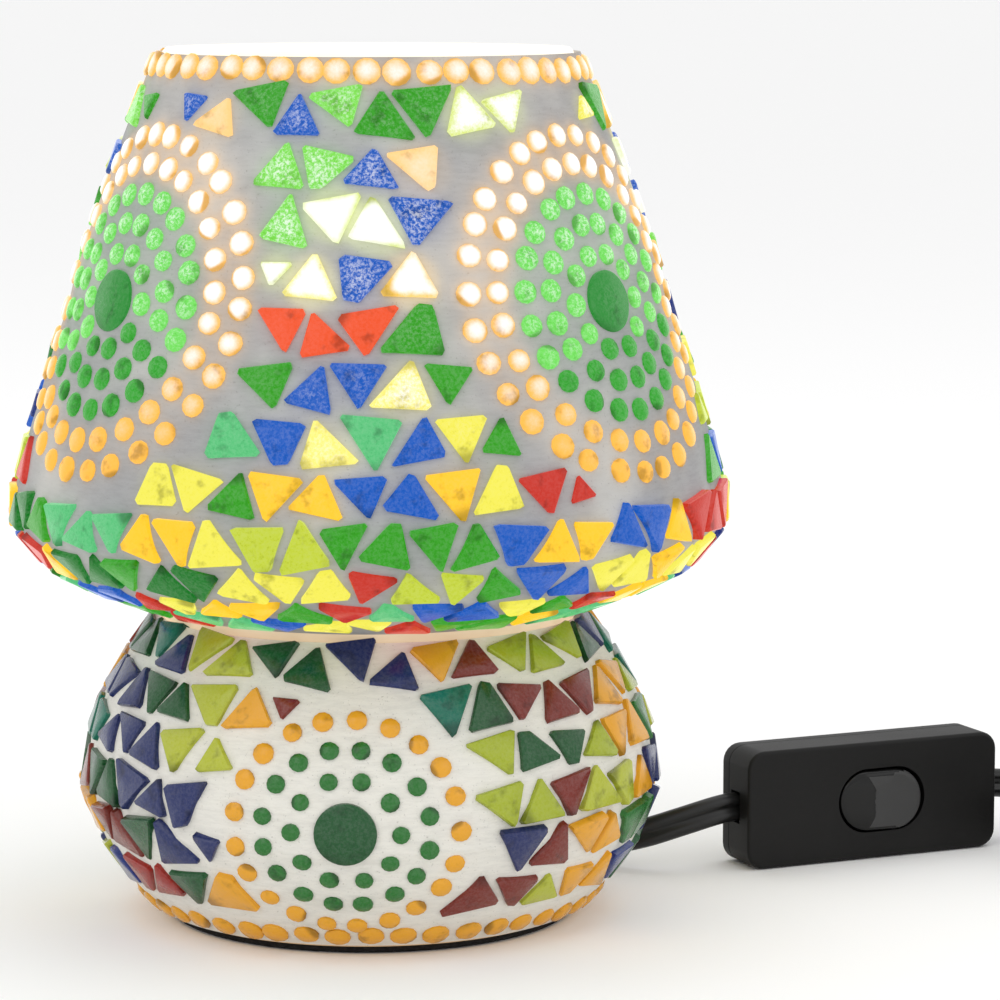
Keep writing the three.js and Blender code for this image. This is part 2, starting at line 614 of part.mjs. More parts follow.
function makeCords() {
  const onCircle = (x, y, radius) => ([degrees, z]) => (
    [x + radius * Math.cos(radians(degrees)), y + radius * Math.sin(radians(degrees)), z]
  );
  const loopPoints = [
    [180, 6.4], [160, 4.8], [140, 3.8], [120, CORD_REST_Z], [90, CORD_REST_Z], [60, CORD_REST_Z],
    [30, CORD_REST_Z], [0, CORD_REST_Z],
  ].map(onCircle(17.6, 88, LEAD_BEND));
  const turnPoints = [
    [180, CORD_REST_Z], [205, 3.8], [230, 5.2], [255, 7.9], [275, 10.6],
  ].map(onCircle(66.2, 55.5, LEAD_BEND));
  const leadPoints = [
    [0, exitOuter + SEAT_GAP, CORD_EXIT_Z], [-0.5, 68, 13.4], [-2.6, 76, 11.2], [-5.4, 83, 8.2],
    ...loopPoints, [42, 71, CORD_REST_Z], ...turnPoints,
    onSwitchAxis(-switchEnd - 4.7, 12.7), onSwitchAxis(-switchEnd - 1, SWITCH_HEIGHT / 2),
    onSwitchAxis(-switchEnd, SWITCH_HEIGHT / 2),
  ];
  addTo(lamp, 'cord_lead', swept(leadPoints, cordSection(), 20), finish.cordPvc);

  const tailPoints = [
    onSwitchAxis(switchEnd, SWITCH_HEIGHT / 2), onSwitchAxis(switchEnd + 1, SWITCH_HEIGHT / 2),
    onSwitchAxis(switchEnd + 7, 12.4),
    onSwitchAxis(switchEnd + 14, 9.6), onSwitchAxis(switchEnd + 20.5, 6.6),
  ];
  addTo(lamp, 'cord_tail', swept(tailPoints, cordSection(), 4), finish.cordPvc);

  const coil = ring(COIL_INNER, COIL_OUTER, COIL_BASE_Z, COIL_BASE_Z + COIL_HEIGHT, LARGE_FACETS);
  addTo(lamp, 'cord_coil', coil.translate(COIL_CENTRE.x, COIL_CENTRE.y, 0), finish.cordPvc);

  const endPoints = [
    [COIL_CENTRE.x + coilTurnRadius, cordEndY, 9.4],
    [COIL_CENTRE.x + coilTurnRadius, mix(cordEndY, plugCordY, 0.5), 8.1],
    [COIL_CENTRE.x + coilTurnRadius, plugCordY, PLUG_THICKNESS / 2],
  ];
  addTo(lamp, 'cord_end', swept(endPoints, cordSection(), 4), finish.cordPvc);
}

/** A band round the winding at one place, clear of the cord on all four sides. */
function makeCoilTie() {
  const slack = 2 * SEAT_GAP;
  const hole = [COIL_OUTER - COIL_INNER + 2 * slack, COIL_HEIGHT + SEAT_GAP + slack];
  const middle = (COIL_OUTER + COIL_INNER) / 2;
  const low = COIL_BASE_Z - SEAT_GAP - TIE_THICKNESS;
  const band = roundedRectangle(hole[0] + 2 * TIE_THICKNESS, hole[1] + 2 * TIE_THICKNESS, 1.5);
  band.holes.push(roundedRectangle(hole[0], hole[1], 0.8));
  const tie = extrudedForward(band, TIE_WIDTH / 2, TIE_WIDTH)
    .translate(middle, 0, low + TIE_THICKNESS + hole[1] / 2)
    .rotateZ(radians(TIE_ANGLE)).translate(COIL_CENTRE.x, COIL_CENTRE.y, 0);
  addTo(lamp, 'coil_tie', tie, finish.tieRubber);
}

// ---------------------------------------------------------------- plug

/** The plug lies flat on the table beside the coil, its pins towards -Y. */
function makePlug() {
  const x = COIL_CENTRE.x + coilTurnRadius;
  const reliefBack = plugCordY - SEAT_GAP;
  const reliefFront = reliefBack - PLUG_RELIEF_LENGTH;
  const relief = swept(
    [[0, reliefBack, 0], [0, reliefFront, 0]],
    roundedRectangle(CORD_THICKNESS + 5, CORD_WIDTH + 4, 2.4), 1,
  );
  const taper = (geometry) => {
    const place = geometry.attributes.position;
    for (let i = 0; i < place.count; i += 1) {
      const share = (reliefBack - place.getY(i)) / PLUG_RELIEF_LENGTH;
      const grow = mix(0.72, 1, share);
      place.setXYZ(i, place.getX(i) * grow, place.getY(i), place.getZ(i) * grow);
    }
    return geometry;
  };
  const z = PLUG_THICKNESS / 2;
  addTo(lamp, 'plug_strain_relief', taper(relief).translate(x, 0, z), finish.blackPlastic);

  const bodyBack = reliefFront - SEAT_GAP;
  const bodyFront = bodyBack - PLUG_LENGTH;
  const shoulderHalf = PLUG_WIDTH / 2 - 9;
  const outline = new THREE.Shape([
    point(-PLUG_WIDTH / 2, bodyFront), point(PLUG_WIDTH / 2, bodyFront),
    point(PLUG_WIDTH / 2, bodyFront + 14), point(shoulderHalf, bodyBack), point(-shoulderHalf, bodyBack),
    point(-PLUG_WIDTH / 2, bodyFront + 14),
  ]);
  addTo(lamp, 'plug_body', extrudedUp(outline, PLUG_THICKNESS).translate(x, 0, z), finish.blackPlastic);

  [-1, 1].forEach((side, i) => {
    const pin = new THREE.CylinderGeometry(PLUG_PIN_RADIUS, PLUG_PIN_RADIUS, PLUG_PIN_LENGTH, 12)
      .translate(x + (side * PLUG_PIN_SPACING) / 2, bodyFront - SEAT_GAP - PLUG_PIN_LENGTH / 2, z);
    addTo(lamp, `plug_pin_${i + 1}`, pin, finish.brass);
  });
}

// ---------------------------------------------------------------- inline switch

const inlineSwitch = new THREE.Group();
inlineSwitch.position.set(SWITCH_CENTRE.x, SWITCH_CENTRE.y, SWITCH_HEIGHT / 2);
inlineSwitch.rotation.z = radians(SWITCH_ANGLE);
lamp.add(inlineSwitch);

const faceY = -SWITCH_DEPTH / 2;
const seamY = SWITCH_DEPTH / 2 - SWITCH_COVER_DEPTH;
const pivotY = faceY + ROCKER_PIVOT_DEPTH;
const pinHalf = SWITCH_HEIGHT / 2 - SWITCH_WALL - SEAT_GAP;

function makeSwitchHousing() {
  const outside = roundedRectangle(SWITCH_LENGTH, SWITCH_HEIGHT, SWITCH_CORNER);
  const inside = () => roundedRectangle(
    SWITCH_LENGTH - 2 * SWITCH_WALL, SWITCH_HEIGHT - 2 * SWITCH_WALL, SWITCH_CORNER - SWITCH_WALL,
  );
  const notch = (side) => box(
    4 * SWITCH_WALL, CORD_THICKNESS + 2 * SEAT_GAP, CORD_WIDTH + 2 * SEAT_GAP, (side * SWITCH_LENGTH) / 2, 0, 0,
  );
  const holeCorner = ROCKER_HOLE_HEIGHT / 2 - 0.01;
  const rockerHole = roundedRectangle(ROCKER_HOLE_LENGTH, ROCKER_HOLE_HEIGHT, holeCorner, ROCKER_X);
  const front = cut(extrudedForward(outside, seamY, seamY - faceY), [
    extrudedForward(inside(), seamY + 1, seamY + 1 - faceY - SWITCH_WALL),
    extrudedForward(rockerHole, 0, 2 * SWITCH_DEPTH), notch(-1), notch(1),
  ]);
  addTo(inlineSwitch, 'switch_front_shell', front, finish.blackPlastic);

  const coverBack = SWITCH_DEPTH / 2;
  const coverFront = seamY + SEAT_GAP;
  const screwPlaces = [[-1, 1], [1, -1]].map(([sx, sz]) => [sx * SWITCH_SCREW_X, sz * SWITCH_SCREW_Z]);
  const drilled = ([x, z]) => new THREE.CylinderGeometry(
    SWITCH_SCREW_RADIUS + SEAT_GAP, SWITCH_SCREW_RADIUS + SEAT_GAP, 20, SMALL_FACETS,
  ).translate(x, coverBack, z);
  const sunk = ([x, z]) => new THREE.CylinderGeometry(
    SWITCH_SCREW_HEAD + SEAT_GAP, SWITCH_SCREW_HEAD + SEAT_GAP, 3.2, SMALL_FACETS,
  ).translate(x, coverBack, z);
  const cover = cut(extrudedForward(outside, coverBack, coverBack - coverFront), [
    ...screwPlaces.map(drilled), ...screwPlaces.map(sunk),
  ]);
  addTo(inlineSwitch, 'switch_back_cover', cover, finish.blackPlastic);

  screwPlaces.forEach(([x, z], i) => {
    const screw = turned([
      point(0, 0), point(SWITCH_SCREW_HEAD, 0), point(SWITCH_SCREW_HEAD, 1.2), point(SWITCH_SCREW_RADIUS, 1.2),
      point(SWITCH_SCREW_RADIUS, 8), point(0, 8),
    ], 16).rotateX(Math.PI / 2).translate(x, coverBack - 0.1, z);
    addTo(inlineSwitch, `switch_screw_${i + 1}`, screw, finish.steel);
  });
}

/** The rocker in its on position: its side towards the plug lies level and proud. */
function makeRocker() {
  const half = ROCKER_HOLE_LENGTH / 2 - ROCKER_END_CLEARANCE;
  const height = ROCKER_HOLE_HEIGHT - 2 * SEAT_GAP;
  const tilt = radians(ROCKER_TRAVEL / 2);
  const ridge = ROCKER_PIVOT_DEPTH + ROCKER_PROUD;
  const roof = new THREE.Shape([
    point(-2 * half, 2.4), point(-2 * half, -ridge + 2 * half * Math.tan(tilt)), point(0, -ridge),
    point(2 * half, -ridge + 2 * half * Math.tan(tilt)), point(2 * half, 2.4),
  ]);
  const stadium = extrudedForward(roundedRectangle(2 * half, height, height / 2 - 0.01), 8, 16);
  const pinHole = rod(ROCKER_PIN_RADIUS + SEAT_GAP, -height, height, 12);
  const solid = toSolid(extrudedUp(roof, 2 * height)).intersect(toSolid(stadium)).subtract(toSolid(pinHole));
  const rocker = toGeometry(solid).rotateZ(-tilt).translate(ROCKER_X, pivotY, 0);
  addTo(inlineSwitch, 'switch_rocker', rocker, finish.blackPlastic);
  const pin = rod(ROCKER_PIN_RADIUS, -pinHalf, pinHalf, 12).translate(ROCKER_X, pivotY, 0);
  addTo(inlineSwitch, 'rocker_pin', pin, finish.steel);
}

function makeSwitchContacts() {
  const contactY = seamY - 1.4;
  [-1, 1].forEach((side, i) => {
    const clamp = box(6, 4, 5, side * 19, contactY - 2, side * 4.6);
    addTo(inlineSwitch, `switch_terminal_${i + 1}`, clamp, finish.brass);
  });
  addTo(inlineSwitch, 'contact_strip', box(20, 0.6, 4, ROCKER_X, seamY - 0.4, 0), finish.brass);
}

// ---------------------------------------------------------------- assembly

makeGlassBody();
makeSkins();
makeMedallionDiscs('shade', shadeOutline, SHADE_MEDALLION_Z, SHADE_MEDALLION_ANGLES);
makeMedallionDiscs('base', baseOutline, BASE_MEDALLION_Z, BASE_MEDALLION_ANGLES);
makeFootPad();
makeHolderPlate();
makeSpringClips();
makeNippleAndNut();
makeLampholder();
makeBulb();
makeInnerCord();
makeCords();
makeCoilTie();
makePlug();
makeSwitchHousing();
makeRocker();
makeSwitchContacts();

export default lamp;
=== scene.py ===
"""A mosaic glass table lamp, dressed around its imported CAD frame.

The frame gives every place and size: the outline of the mosaic skin, the holder, the bulb, the
switch and the plug. This script lays the grout and the hand-cut glass on that outline, makes
the cord at its real length and gives every piece its finish. Lengths are in metres.
"""

import json
import logging
import math
import random
from dataclasses import dataclass, field
from enum import Enum
from typing import Callable, Iterable, Sequence, Union

import bpy
import numpy as np
from mathutils import Matrix, Vector, kdtree
from mathutils.bvhtree import BVHTree

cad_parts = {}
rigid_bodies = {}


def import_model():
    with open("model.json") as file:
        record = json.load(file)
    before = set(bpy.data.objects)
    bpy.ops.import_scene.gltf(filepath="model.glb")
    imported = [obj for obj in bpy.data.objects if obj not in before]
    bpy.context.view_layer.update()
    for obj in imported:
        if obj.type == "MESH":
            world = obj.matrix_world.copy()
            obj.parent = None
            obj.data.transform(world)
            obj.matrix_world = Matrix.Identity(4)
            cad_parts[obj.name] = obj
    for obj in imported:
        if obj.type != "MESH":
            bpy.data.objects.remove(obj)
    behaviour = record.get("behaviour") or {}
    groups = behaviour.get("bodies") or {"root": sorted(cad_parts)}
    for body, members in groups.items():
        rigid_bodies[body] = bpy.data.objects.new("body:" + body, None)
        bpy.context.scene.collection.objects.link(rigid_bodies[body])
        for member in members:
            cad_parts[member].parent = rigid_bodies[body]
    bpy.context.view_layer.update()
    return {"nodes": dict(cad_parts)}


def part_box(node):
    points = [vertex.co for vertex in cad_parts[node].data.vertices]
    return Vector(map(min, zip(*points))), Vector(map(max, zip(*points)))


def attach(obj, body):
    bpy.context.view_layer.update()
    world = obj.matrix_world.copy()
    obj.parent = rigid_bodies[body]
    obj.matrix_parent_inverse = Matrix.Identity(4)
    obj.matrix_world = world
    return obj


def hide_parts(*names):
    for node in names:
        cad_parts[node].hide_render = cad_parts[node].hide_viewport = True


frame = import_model()

log = logging.getLogger("lamp")
MM = 0.001
SEED = 41
DOUBLES = 1e-6
Rgb = tuple[float, float, float]
Number = Union[float, int]
WHITE = (1.0, 1.0, 1.0, 1.0)
BLACK = (0.0, 0.0, 0.0, 1.0)


# ---------------------------------------------------------------- shader building

def linear(colour: Rgb) -> tuple[float, float, float, float]:
    """Turns a display colour into a linear colour with alpha.

    Args:
        colour: red, green and blue from 0 to 1, as seen.

    Returns:
        The linear colour with an alpha of 1.
    """
    def channel(c: float) -> float:
        """One channel, made linear."""
        return c / 12.92 if c <= 0.04045 else ((c + 0.055) / 1.055) ** 2.4
    return (*[channel(c) for c in colour], 1.0)


class Value:
    """A shader number: a node's output socket that takes part in Python arithmetic."""

    def __init__(self, shader: "Shader", socket: bpy.types.NodeSocket) -> None:
        """Keeps the shader that the socket belongs to, and the socket."""
        self.shader = shader
        self.socket = socket

    def _math(self, operation: str, first: "Value | Number", second: "Value | Number") -> "Value":
        """Adds one Math node.

        Args:
            operation: the node's operation.
            first: its first input.
            second: its second input.

        Returns:
            The node's result.
        """
        return self.shader.node("Math", {"operation": operation}, {0: first, 1: second})

    def __add__(self, other: "Value | Number") -> "Value":
        """self + other."""
        return self._math("ADD", self, other)

    def __radd__(self, other: Number) -> "Value":
        """other + self."""
        return self._math("ADD", other, self)

    def __sub__(self, other: "Value | Number") -> "Value":
        """self - other."""
        return self._math("SUBTRACT", self, other)

    def __rsub__(self, other: Number) -> "Value":
        """other - self."""
        return self._math("SUBTRACT", other, self)

    def __mul__(self, other: "Value | Number") -> "Value":
        """self * other."""
        return self._math("MULTIPLY", self, other)

    def __rmul__(self, other: Number) -> "Value":
        """other * self."""
        return self._math("MULTIPLY", other, self)

    def ramp(self, low: float, high: float) -> "Value":
        """A smooth step from 0 at low to 1 at high.

        Args:
            low: where the step starts.
            high: where the step ends.

        Returns:
            The step, clamped to 0..1.
        """
        settings = {"interpolation_type": "SMOOTHSTEP"}
        return self.shader.node("MapRange", settings, {0: self, 1: low, 2: high, 3: 0.0, 4: 1.0})


class Shader:
    """One material's node tree with a Principled shader at its end."""

    def __init__(self, name: str, **constants: object) -> None:
        """Starts a material.

        Args:
            name: the material's name.
            **constants: values for the Principled sockets, with _ for the spaces in their names.
        """
        self.material = bpy.data.materials.new(name)
        self.material.use_nodes = True
        self.tree = self.material.node_tree
        self.principled = self.tree.nodes["Principled BSDF"]
        for key, value in constants.items():
            self.principled.inputs[key.replace("_", " ")].default_value = value

    def node(
        self, kind: str, settings: dict | None = None, inputs: dict | None = None, output: int | str = 0,
    ) -> Value:
        """Adds any node.

        Args:
            kind: the node type, without its ShaderNode prefix.
            settings: properties, set before the inputs.
            inputs: values or links, by socket name or number.
            output: the output to return.

        Returns:
            The chosen output.
        """
        made = self.tree.nodes.new("ShaderNode" + kind)
        for key, value in (settings or {}).items():
            setattr(made, key, value)
        for key, value in (inputs or {}).items():
            if isinstance(value, Value):
                self.tree.links.new(value.socket, made.inputs[key])
            else:
                made.inputs[key].default_value = value
        return Value(self, made.outputs[output])

    def place(self) -> Value:
        """Object coordinates, in metres."""
        return self.node("TexCoord", output="Object")

    def attribute(self, name: str, output: str = "Color") -> Value:
        """A mesh attribute by name."""
        return self.node("Attribute", {"attribute_name": name}, output=output)

    def noise(
        self, scale: float, detail: float = 2.0, vector: Value | None = None, rough: float = 0.5,
    ) -> Value:
        """Noise from 0 to 1.

        Args:
            scale: waves per metre of the vector.
            detail: octaves.
            vector: where to read it; the object's own place when left out.
            rough: how strong the finer octaves are.

        Returns:
            The noise value.
        """
        inputs = {"Vector": vector or self.place(), "Scale": scale, "Detail": detail, "Roughness": rough}
        return self.node("TexNoise", None, inputs, "Fac")

    def stretched(self, factors: Rgb) -> Value:
        """Object coordinates scaled along each axis, for streaks."""
        return self.node("VectorMath", {"operation": "MULTIPLY"}, {0: self.place(), 1: factors})

    def mix(self, amount: Value | Number, first: Value | tuple, second: Value | tuple) -> Value:
        """Mixes two colours.

        Args:
            amount: 0 for the first, 1 for the second.
            first: a colour or a linear colour tuple.
            second: the same.

        Returns:
            The mixed colour.
        """
        settings = {"data_type": "RGBA", "clamp_factor": True}
        return self.node("Mix", settings, {0: amount, 6: first, 7: second}, 2)

    def feed(self, **sockets: Value) -> None:
        """Links values to Principled sockets, with _ for the spaces in their names."""
        for key, value in sockets.items():
            self.tree.links.new(value.socket, self.principled.inputs[key.replace("_", " ")])

    def bump(self, height: Value, strength: float, distance: float) -> None:
        """Feeds a height to the surface's normal.

        Args:
            height: the height map.
            strength: 0 to 1.
            distance: the relief in metres for a height of 1.
        """
        inputs = {"Height": height, "Strength": strength, "Distance": distance}
        self.feed(Normal=self.node("Bump", None, inputs, "Normal"))


# ---------------------------------------------------------------- finishes

class Tint(Enum):
    """The glass colours, each as it looks with its light behind it or, on the base, in room light."""

    BLUE = (0.0, 0.33, 0.72)
    NAVY = (0.05, 0.16, 0.46)
    GREEN = (0.17, 0.60, 0.06)
    DARK = (0.04, 0.45, 0.11)
    LEAF = (0.47, 0.85, 0.28)
    # The spring green of beads low on a shade medallion, darker: painted shade where the bulb's light is
    # weaker.
    FERN = (0.17, 0.62, 0.15)
    SPRING = (0.43, 0.85, 0.34)
    HONEY = (0.99, 0.72, 0.20)
    MINT = (0.33, 0.74, 0.46)
    OLIVE = (0.74, 0.80, 0.20)
    YELLOW = (0.93, 0.90, 0.30)
    PALE = (0.98, 0.93, 0.45)
    AMBER = (1.0, 0.78, 0.04)
    CREAM = (1.0, 0.80, 0.48)
    WHITE = (0.84, 0.90, 0.42)
    RED = (0.76, 0.14, 0.05)
    ORANGE = (0.92, 0.30, 0.08)
    ROOM_NAVY = (0.10, 0.15, 0.36)
    ROOM_DARK = (0.05, 0.30, 0.13)
    ROOM_TEAL = (0.07, 0.42, 0.34)
    ROOM_LIME = (0.68, 0.71, 0.20)
    ROOM_AMBER = (0.88, 0.62, 0.09)
    ROOM_MAROON = (0.45, 0.13, 0.08)
    ROOM_OLIVE = (0.62, 0.67, 0.14)
    ROOM_ROYAL = (0.09, 0.18, 0.46)
    ROOM_GREEN = (0.12, 0.42, 0.14)
    ROOM_RED = (0.58, 0.13, 0.09)
    DISC = (0.02, 0.52, 0.12)


# How strongly the seeds in the glass show, by its colour; the rest show them in full.
GRAIN = {
    Tint.HONEY: 0.15, Tint.AMBER: 0.25, Tint.CREAM: 0.12, Tint.PALE: 0.6, Tint.WHITE: 0.5, Tint.ORANGE: 0.45,
    Tint.RED: 0.5, Tint.DISC: 0.35, Tint.ROOM_AMBER: 0.3, Tint.YELLOW: 0.6,
}

# How far the bulb washes each colour out at its own height; the rest take PLAIN_WASH.
WASH = {
    Tint.WHITE: 1.0, Tint.PALE: 1.0, Tint.CREAM: 0.3, Tint.HONEY: 0.95, Tint.YELLOW: 0.5, Tint.AMBER: 0.95,
    Tint.RED: 0.0, Tint.ORANGE: 0.05, Tint.BLUE: 0.24, Tint.LEAF: 0.3, Tint.SPRING: 0.25,
}
PLAIN_WASH = 0.12

# The colours near the bulb, above this height in millimetres.
HOT_FROM = 134
HOT_PALETTE = (
    Tint.WHITE, Tint.PALE, Tint.CREAM, Tint.BLUE, Tint.GREEN, Tint.LEAF, Tint.AMBER, Tint.BLUE,
)

# Where the shade is hottest and how far that reaches up and down, in metres.
HOT_HEIGHT, HOT_SPREAD = 0.150, 0.034


@dataclass(frozen=True)
class StainedGlass:
    """Flat hand-made glass in the colour of the piece's tint attribute."""

    name: str
    lit: float
    roughness: float = 0.14
    speckle: float = 0.5

    def build(self) -> bpy.types.Material:
        """Makes the material.

        Returns:
            Glass that glows by its lit share and shows seeds, streaks and scratches.
        """
        sh = Shader(self.name, Specular_IOR_Level=0.22 if self.lit else 0.4, Emission_Strength=self.lit)
        tint = sh.attribute("tint")
        inner = sh.node("SeparateXYZ", None, {0: sh.attribute("inner", "Vector")}, 0)
        rim = Value(sh, inner.socket)
        side = Value(sh, inner.socket.node.outputs[1])
        heat = Value(sh, inner.socket.node.outputs[2])
        blotch = sh.noise(230, 3, rough=0.6)
        seeds = sh.noise(1500, 4, rough=0.75)
        streak = sh.noise(900, 2, sh.stretched((1.0, 1.0, 0.12)))
        grain = sh.attribute("tint", "Alpha")
        mottle = (seeds.ramp(0.40, 0.62) - 0.5) * grain + 0.5
        lighter = sh.mix(0.5, tint, WHITE)
        pale = sh.mix(mottle * (self.speckle * (0.15 + heat)), tint, lighter)
        deep = sh.mix(0.72, tint, BLACK)
        flecked = sh.mix((1 - seeds.ramp(0.30, 0.44)) * (0.6 * self.speckle) * grain, pale, deep)
        stained = sh.mix((1 - blotch.ramp(0.26, 0.46)) * 0.6, flecked, deep)
        corner = (side + blotch * 0.5 - 0.25).ramp(0.42, 0.85)
        cornered = sh.mix(corner * (1 - heat * 0.5) * 0.72, stained, deep)
        seeded = (mottle - 0.5) * (1 - heat) * 1.7
        glare = heat * (0.75 + blotch * 0.7 + seeded - rim * rim * 0.95 - corner * 0.5)
        body = sh.mix(glare.ramp(0.05, 0.8), cornered, WHITE)
        sh.feed(Base_Color=sh.mix(0.9 if self.lit else 0.0, body, BLACK))
        if self.lit:
            sh.feed(Emission_Color=body)
        scratch = sh.noise(2600, 3, sh.stretched((1.0, 0.08, 1.0)), 0.8).ramp(0.66, 0.8)
        sh.feed(Roughness=self.roughness + streak * 0.12 + scratch * 0.4)
        sh.bump(blotch * 0.7 + seeds * 0.3 + scratch * 0.2, 0.5, 0.35 * MM)
        return sh.material


@dataclass(frozen=True)
class Grout:
    """Smoothed cement grout with the light that spills from the glass beside it painted on as glow."""

    name: str
    colour: Rgb
    glow: float

    def build(self) -> bpy.types.Material:
        """Makes the material.

        Returns:
            Satin grout with wiping streaks, pinholes darkened with painted shade and a spill attribute of
            light.
        """
        sh = Shader(self.name, Specular_IOR_Level=0.35, Emission_Strength=self.glow)
        streaks = sh.noise(260, 4, sh.stretched((1.0, 1.0, 5.0)), 0.7)
        clouds = sh.noise(45, 3)
        grit = sh.noise(2400, 3)
        base = linear(self.colour)
        dull = linear(tuple(0.9 * c for c in self.colour))
        shaded = sh.mix(streaks.ramp(0.35, 0.75) * 0.6, base, dull)
        clouded = sh.mix(clouds.ramp(0.35, 0.8) * 0.35, shaded, linear((0.93, 0.92, 0.88)))
        # Pinholes sink in the bump; their darker colour is painted shade in the pits.
        pinholes_and_shade = grit.ramp(0.36, 0.27)
        sh.feed(Base_Color=sh.mix(pinholes_and_shade * 0.35, clouded, linear((0.42, 0.41, 0.39))))
        # The spill attribute is painted light: the glow of the glass beside the grout, given as emission.
        sh.feed(Emission_Color=sh.attribute("spill"))
        sh.feed(Roughness=0.55 + streaks * 0.25)
        sh.bump(clouds * 0.5 + streaks * 0.25 + grit * 0.12 - pinholes_and_shade * 0.25, 0.5, 0.3 * MM)
        return sh.material


@dataclass(frozen=True)
class Moulded:
    """Moulded plastic or rubber with a spark-eroded texture."""

    name: str
    colour: Rgb = (0.085, 0.085, 0.088)
    roughness: float = 0.45
    texture: float = 0.35
    grain: float = 2600
    coat: float = 0.0
    gloss: float = 0.45

    def build(self) -> bpy.types.Material:
        """Makes the material.

        Returns:
            Plastic with fine grain, faint handling marks and a slightly worn tone.
        """
        sh = Shader(self.name, Specular_IOR_Level=self.gloss, Coat_Roughness=0.2)
        sh.principled.inputs["Coat Weight"].default_value = self.coat
        grain = sh.noise(self.grain, 3, rough=0.65)
        haze = sh.noise(70, 3)
        worn = linear(tuple(min(1.0, 1.35 * c + 0.01) for c in self.colour))
        sh.feed(Base_Color=sh.mix(haze.ramp(0.4, 0.85) * 0.6, linear(self.colour), worn))
        sh.feed(Roughness=self.roughness + haze * 0.12 + grain * 0.06 - 0.05)
        sh.bump(grain + haze * 0.3, self.texture, 0.06 * MM)
        return sh.material


@dataclass(frozen=True)
class Metal:
    """Plated or drawn metal."""

    name: str
    colour: Rgb
    roughness: float = 0.25
    brushed: float = 0.3

    def build(self) -> bpy.types.Material:
        """Makes the material.

        Returns:
            Metal with drawing lines and a faint tarnish.
        """
        sh = Shader(self.name, Metallic=1.0)
        lines = sh.noise(900, 3, sh.stretched((1.0, 1.0, 14.0)))
        tarnish = sh.noise(120, 3)
        dark = linear(tuple(0.72 * c for c in self.colour))
        sh.feed(Base_Color=sh.mix(tarnish.ramp(0.5, 0.85) * 0.6, linear(self.colour), dark))
        sh.feed(Roughness=self.roughness + tarnish * 0.18)
        sh.bump(lines, self.brushed, 0.04 * MM)
        return sh.material


@dataclass(frozen=True)
class Felt:
    """Pressed wool felt."""

    name: str
    colour: Rgb = (0.12, 0.12, 0.125)

    def build(self) -> bpy.types.Material:
        """Makes the material.

        Returns:
            Matte felt with tangled fibres.
        """
        sh = Shader(self.name, Roughness=0.95, Specular_IOR_Level=0.1)
        fibres = sh.noise(1500, 5, rough=0.8)
        light = linear(tuple(1.8 * c for c in self.colour))
        sh.feed(Base_Color=sh.mix(fibres.ramp(0.4, 0.75), linear(self.colour), light))
        sh.bump(fibres, 0.9, 0.3 * MM)
        return sh.material


@dataclass(frozen=True)
class Ceramic:
    """Glazed steatite."""

    name: str
    colour: Rgb = (0.93, 0.91, 0.86)

    def build(self) -> bpy.types.Material:
        """Makes the material.

        Returns:
            Off-white ceramic with small specks under its glaze.
        """
        sh = Shader(self.name, Roughness=0.25)
        specks = sh.noise(1400, 2)
        dirt = linear((0.6, 0.55, 0.5))
        sh.feed(Base_Color=sh.mix(specks.ramp(0.70, 0.78) * 0.5, linear(self.colour), dirt))
        sh.bump(sh.noise(220, 2), 0.3, 0.1 * MM)
        return sh.material


@dataclass(frozen=True)
class LitGlass:
    """Clear or opal glass with the lamp's light in it, brightest near the bulb."""

    name: str
    near: Rgb
    far: Rgb
    strength: float
    reach: float
    centre: tuple[float, float, float]

    def build(self) -> bpy.types.Material:
        """Makes the material.

        Returns:
            Glass whose glow falls from near to far over its reach from the centre.
        """
        sh = Shader(self.name, Roughness=0.2, Emission_Strength=self.strength)
        offset = sh.node("VectorMath", {"operation": "SUBTRACT"}, {0: sh.place(), 1: self.centre})
        distance = sh.node("VectorMath", {"operation": "LENGTH"}, {0: offset}, "Value")
        waves = sh.noise(60, 3)
        share = (distance + waves * (0.15 * self.reach)).ramp(0.35 * self.reach, self.reach)
        colour = sh.mix(share, linear(self.near), linear(self.far))
        sh.feed(Base_Color=sh.mix(0.5, colour, BLACK), Emission_Color=colour)
        sh.bump(waves, 0.3, 0.3 * MM)
        return sh.material


# ---------------------------------------------------------------- shaping with Blender's own tools

def deselect() -> None:
    """Leaves object mode with nothing selected."""
    if bpy.context.mode != "OBJECT":
        bpy.ops.object.mode_set(mode="OBJECT")
    bpy.ops.object.select_all(action="DESELECT")


def take(piece: bpy.types.Object) -> None:
    """Selects one piece alone and makes it the active one."""
    deselect()
    bpy.context.view_layer.objects.active = piece
    piece.select_set(True)


def heal(piece: bpy.types.Object, merge: float = 0.0) -> None:
    """Turns a piece's faces outwards.

    Args:
        piece: the object.
        merge: doubles nearer than this are merged first; 0 merges none.
    """
    take(piece)
    bpy.ops.object.mode_set(mode="EDIT")
    bpy.ops.mesh.select_all(action="SELECT")
    if merge:
        bpy.ops.mesh.remove_doubles(threshold=merge)
    bpy.ops.mesh.normals_make_consistent(inside=False)
    bpy.ops.object.mode_set(mode="OBJECT")


def tube_faces(rings: int, count: int, start: int = 0) -> list[tuple[int, ...]]:
    """The faces between neighbouring rings of points.

    Args:
        rings: how many rings there are.
        count: points in each.
        start: number of the first point.

    Returns:
        The faces, ring by ring.
    """
    faces = []
    for ring in range(rings - 1):
        for k in range(count):
            a, b = start + ring * count + k, start + ring * count + (k + 1) % count
            faces.append((a, b, b + count, a + count))
    return faces


def end_faces(rings: int, count: int) -> list[tuple[int, ...]]:
    """The two faces that close a tube of rings."""
    return [tuple(reversed(range(count))), tuple((rings - 1) * count + k for k in range(count))]


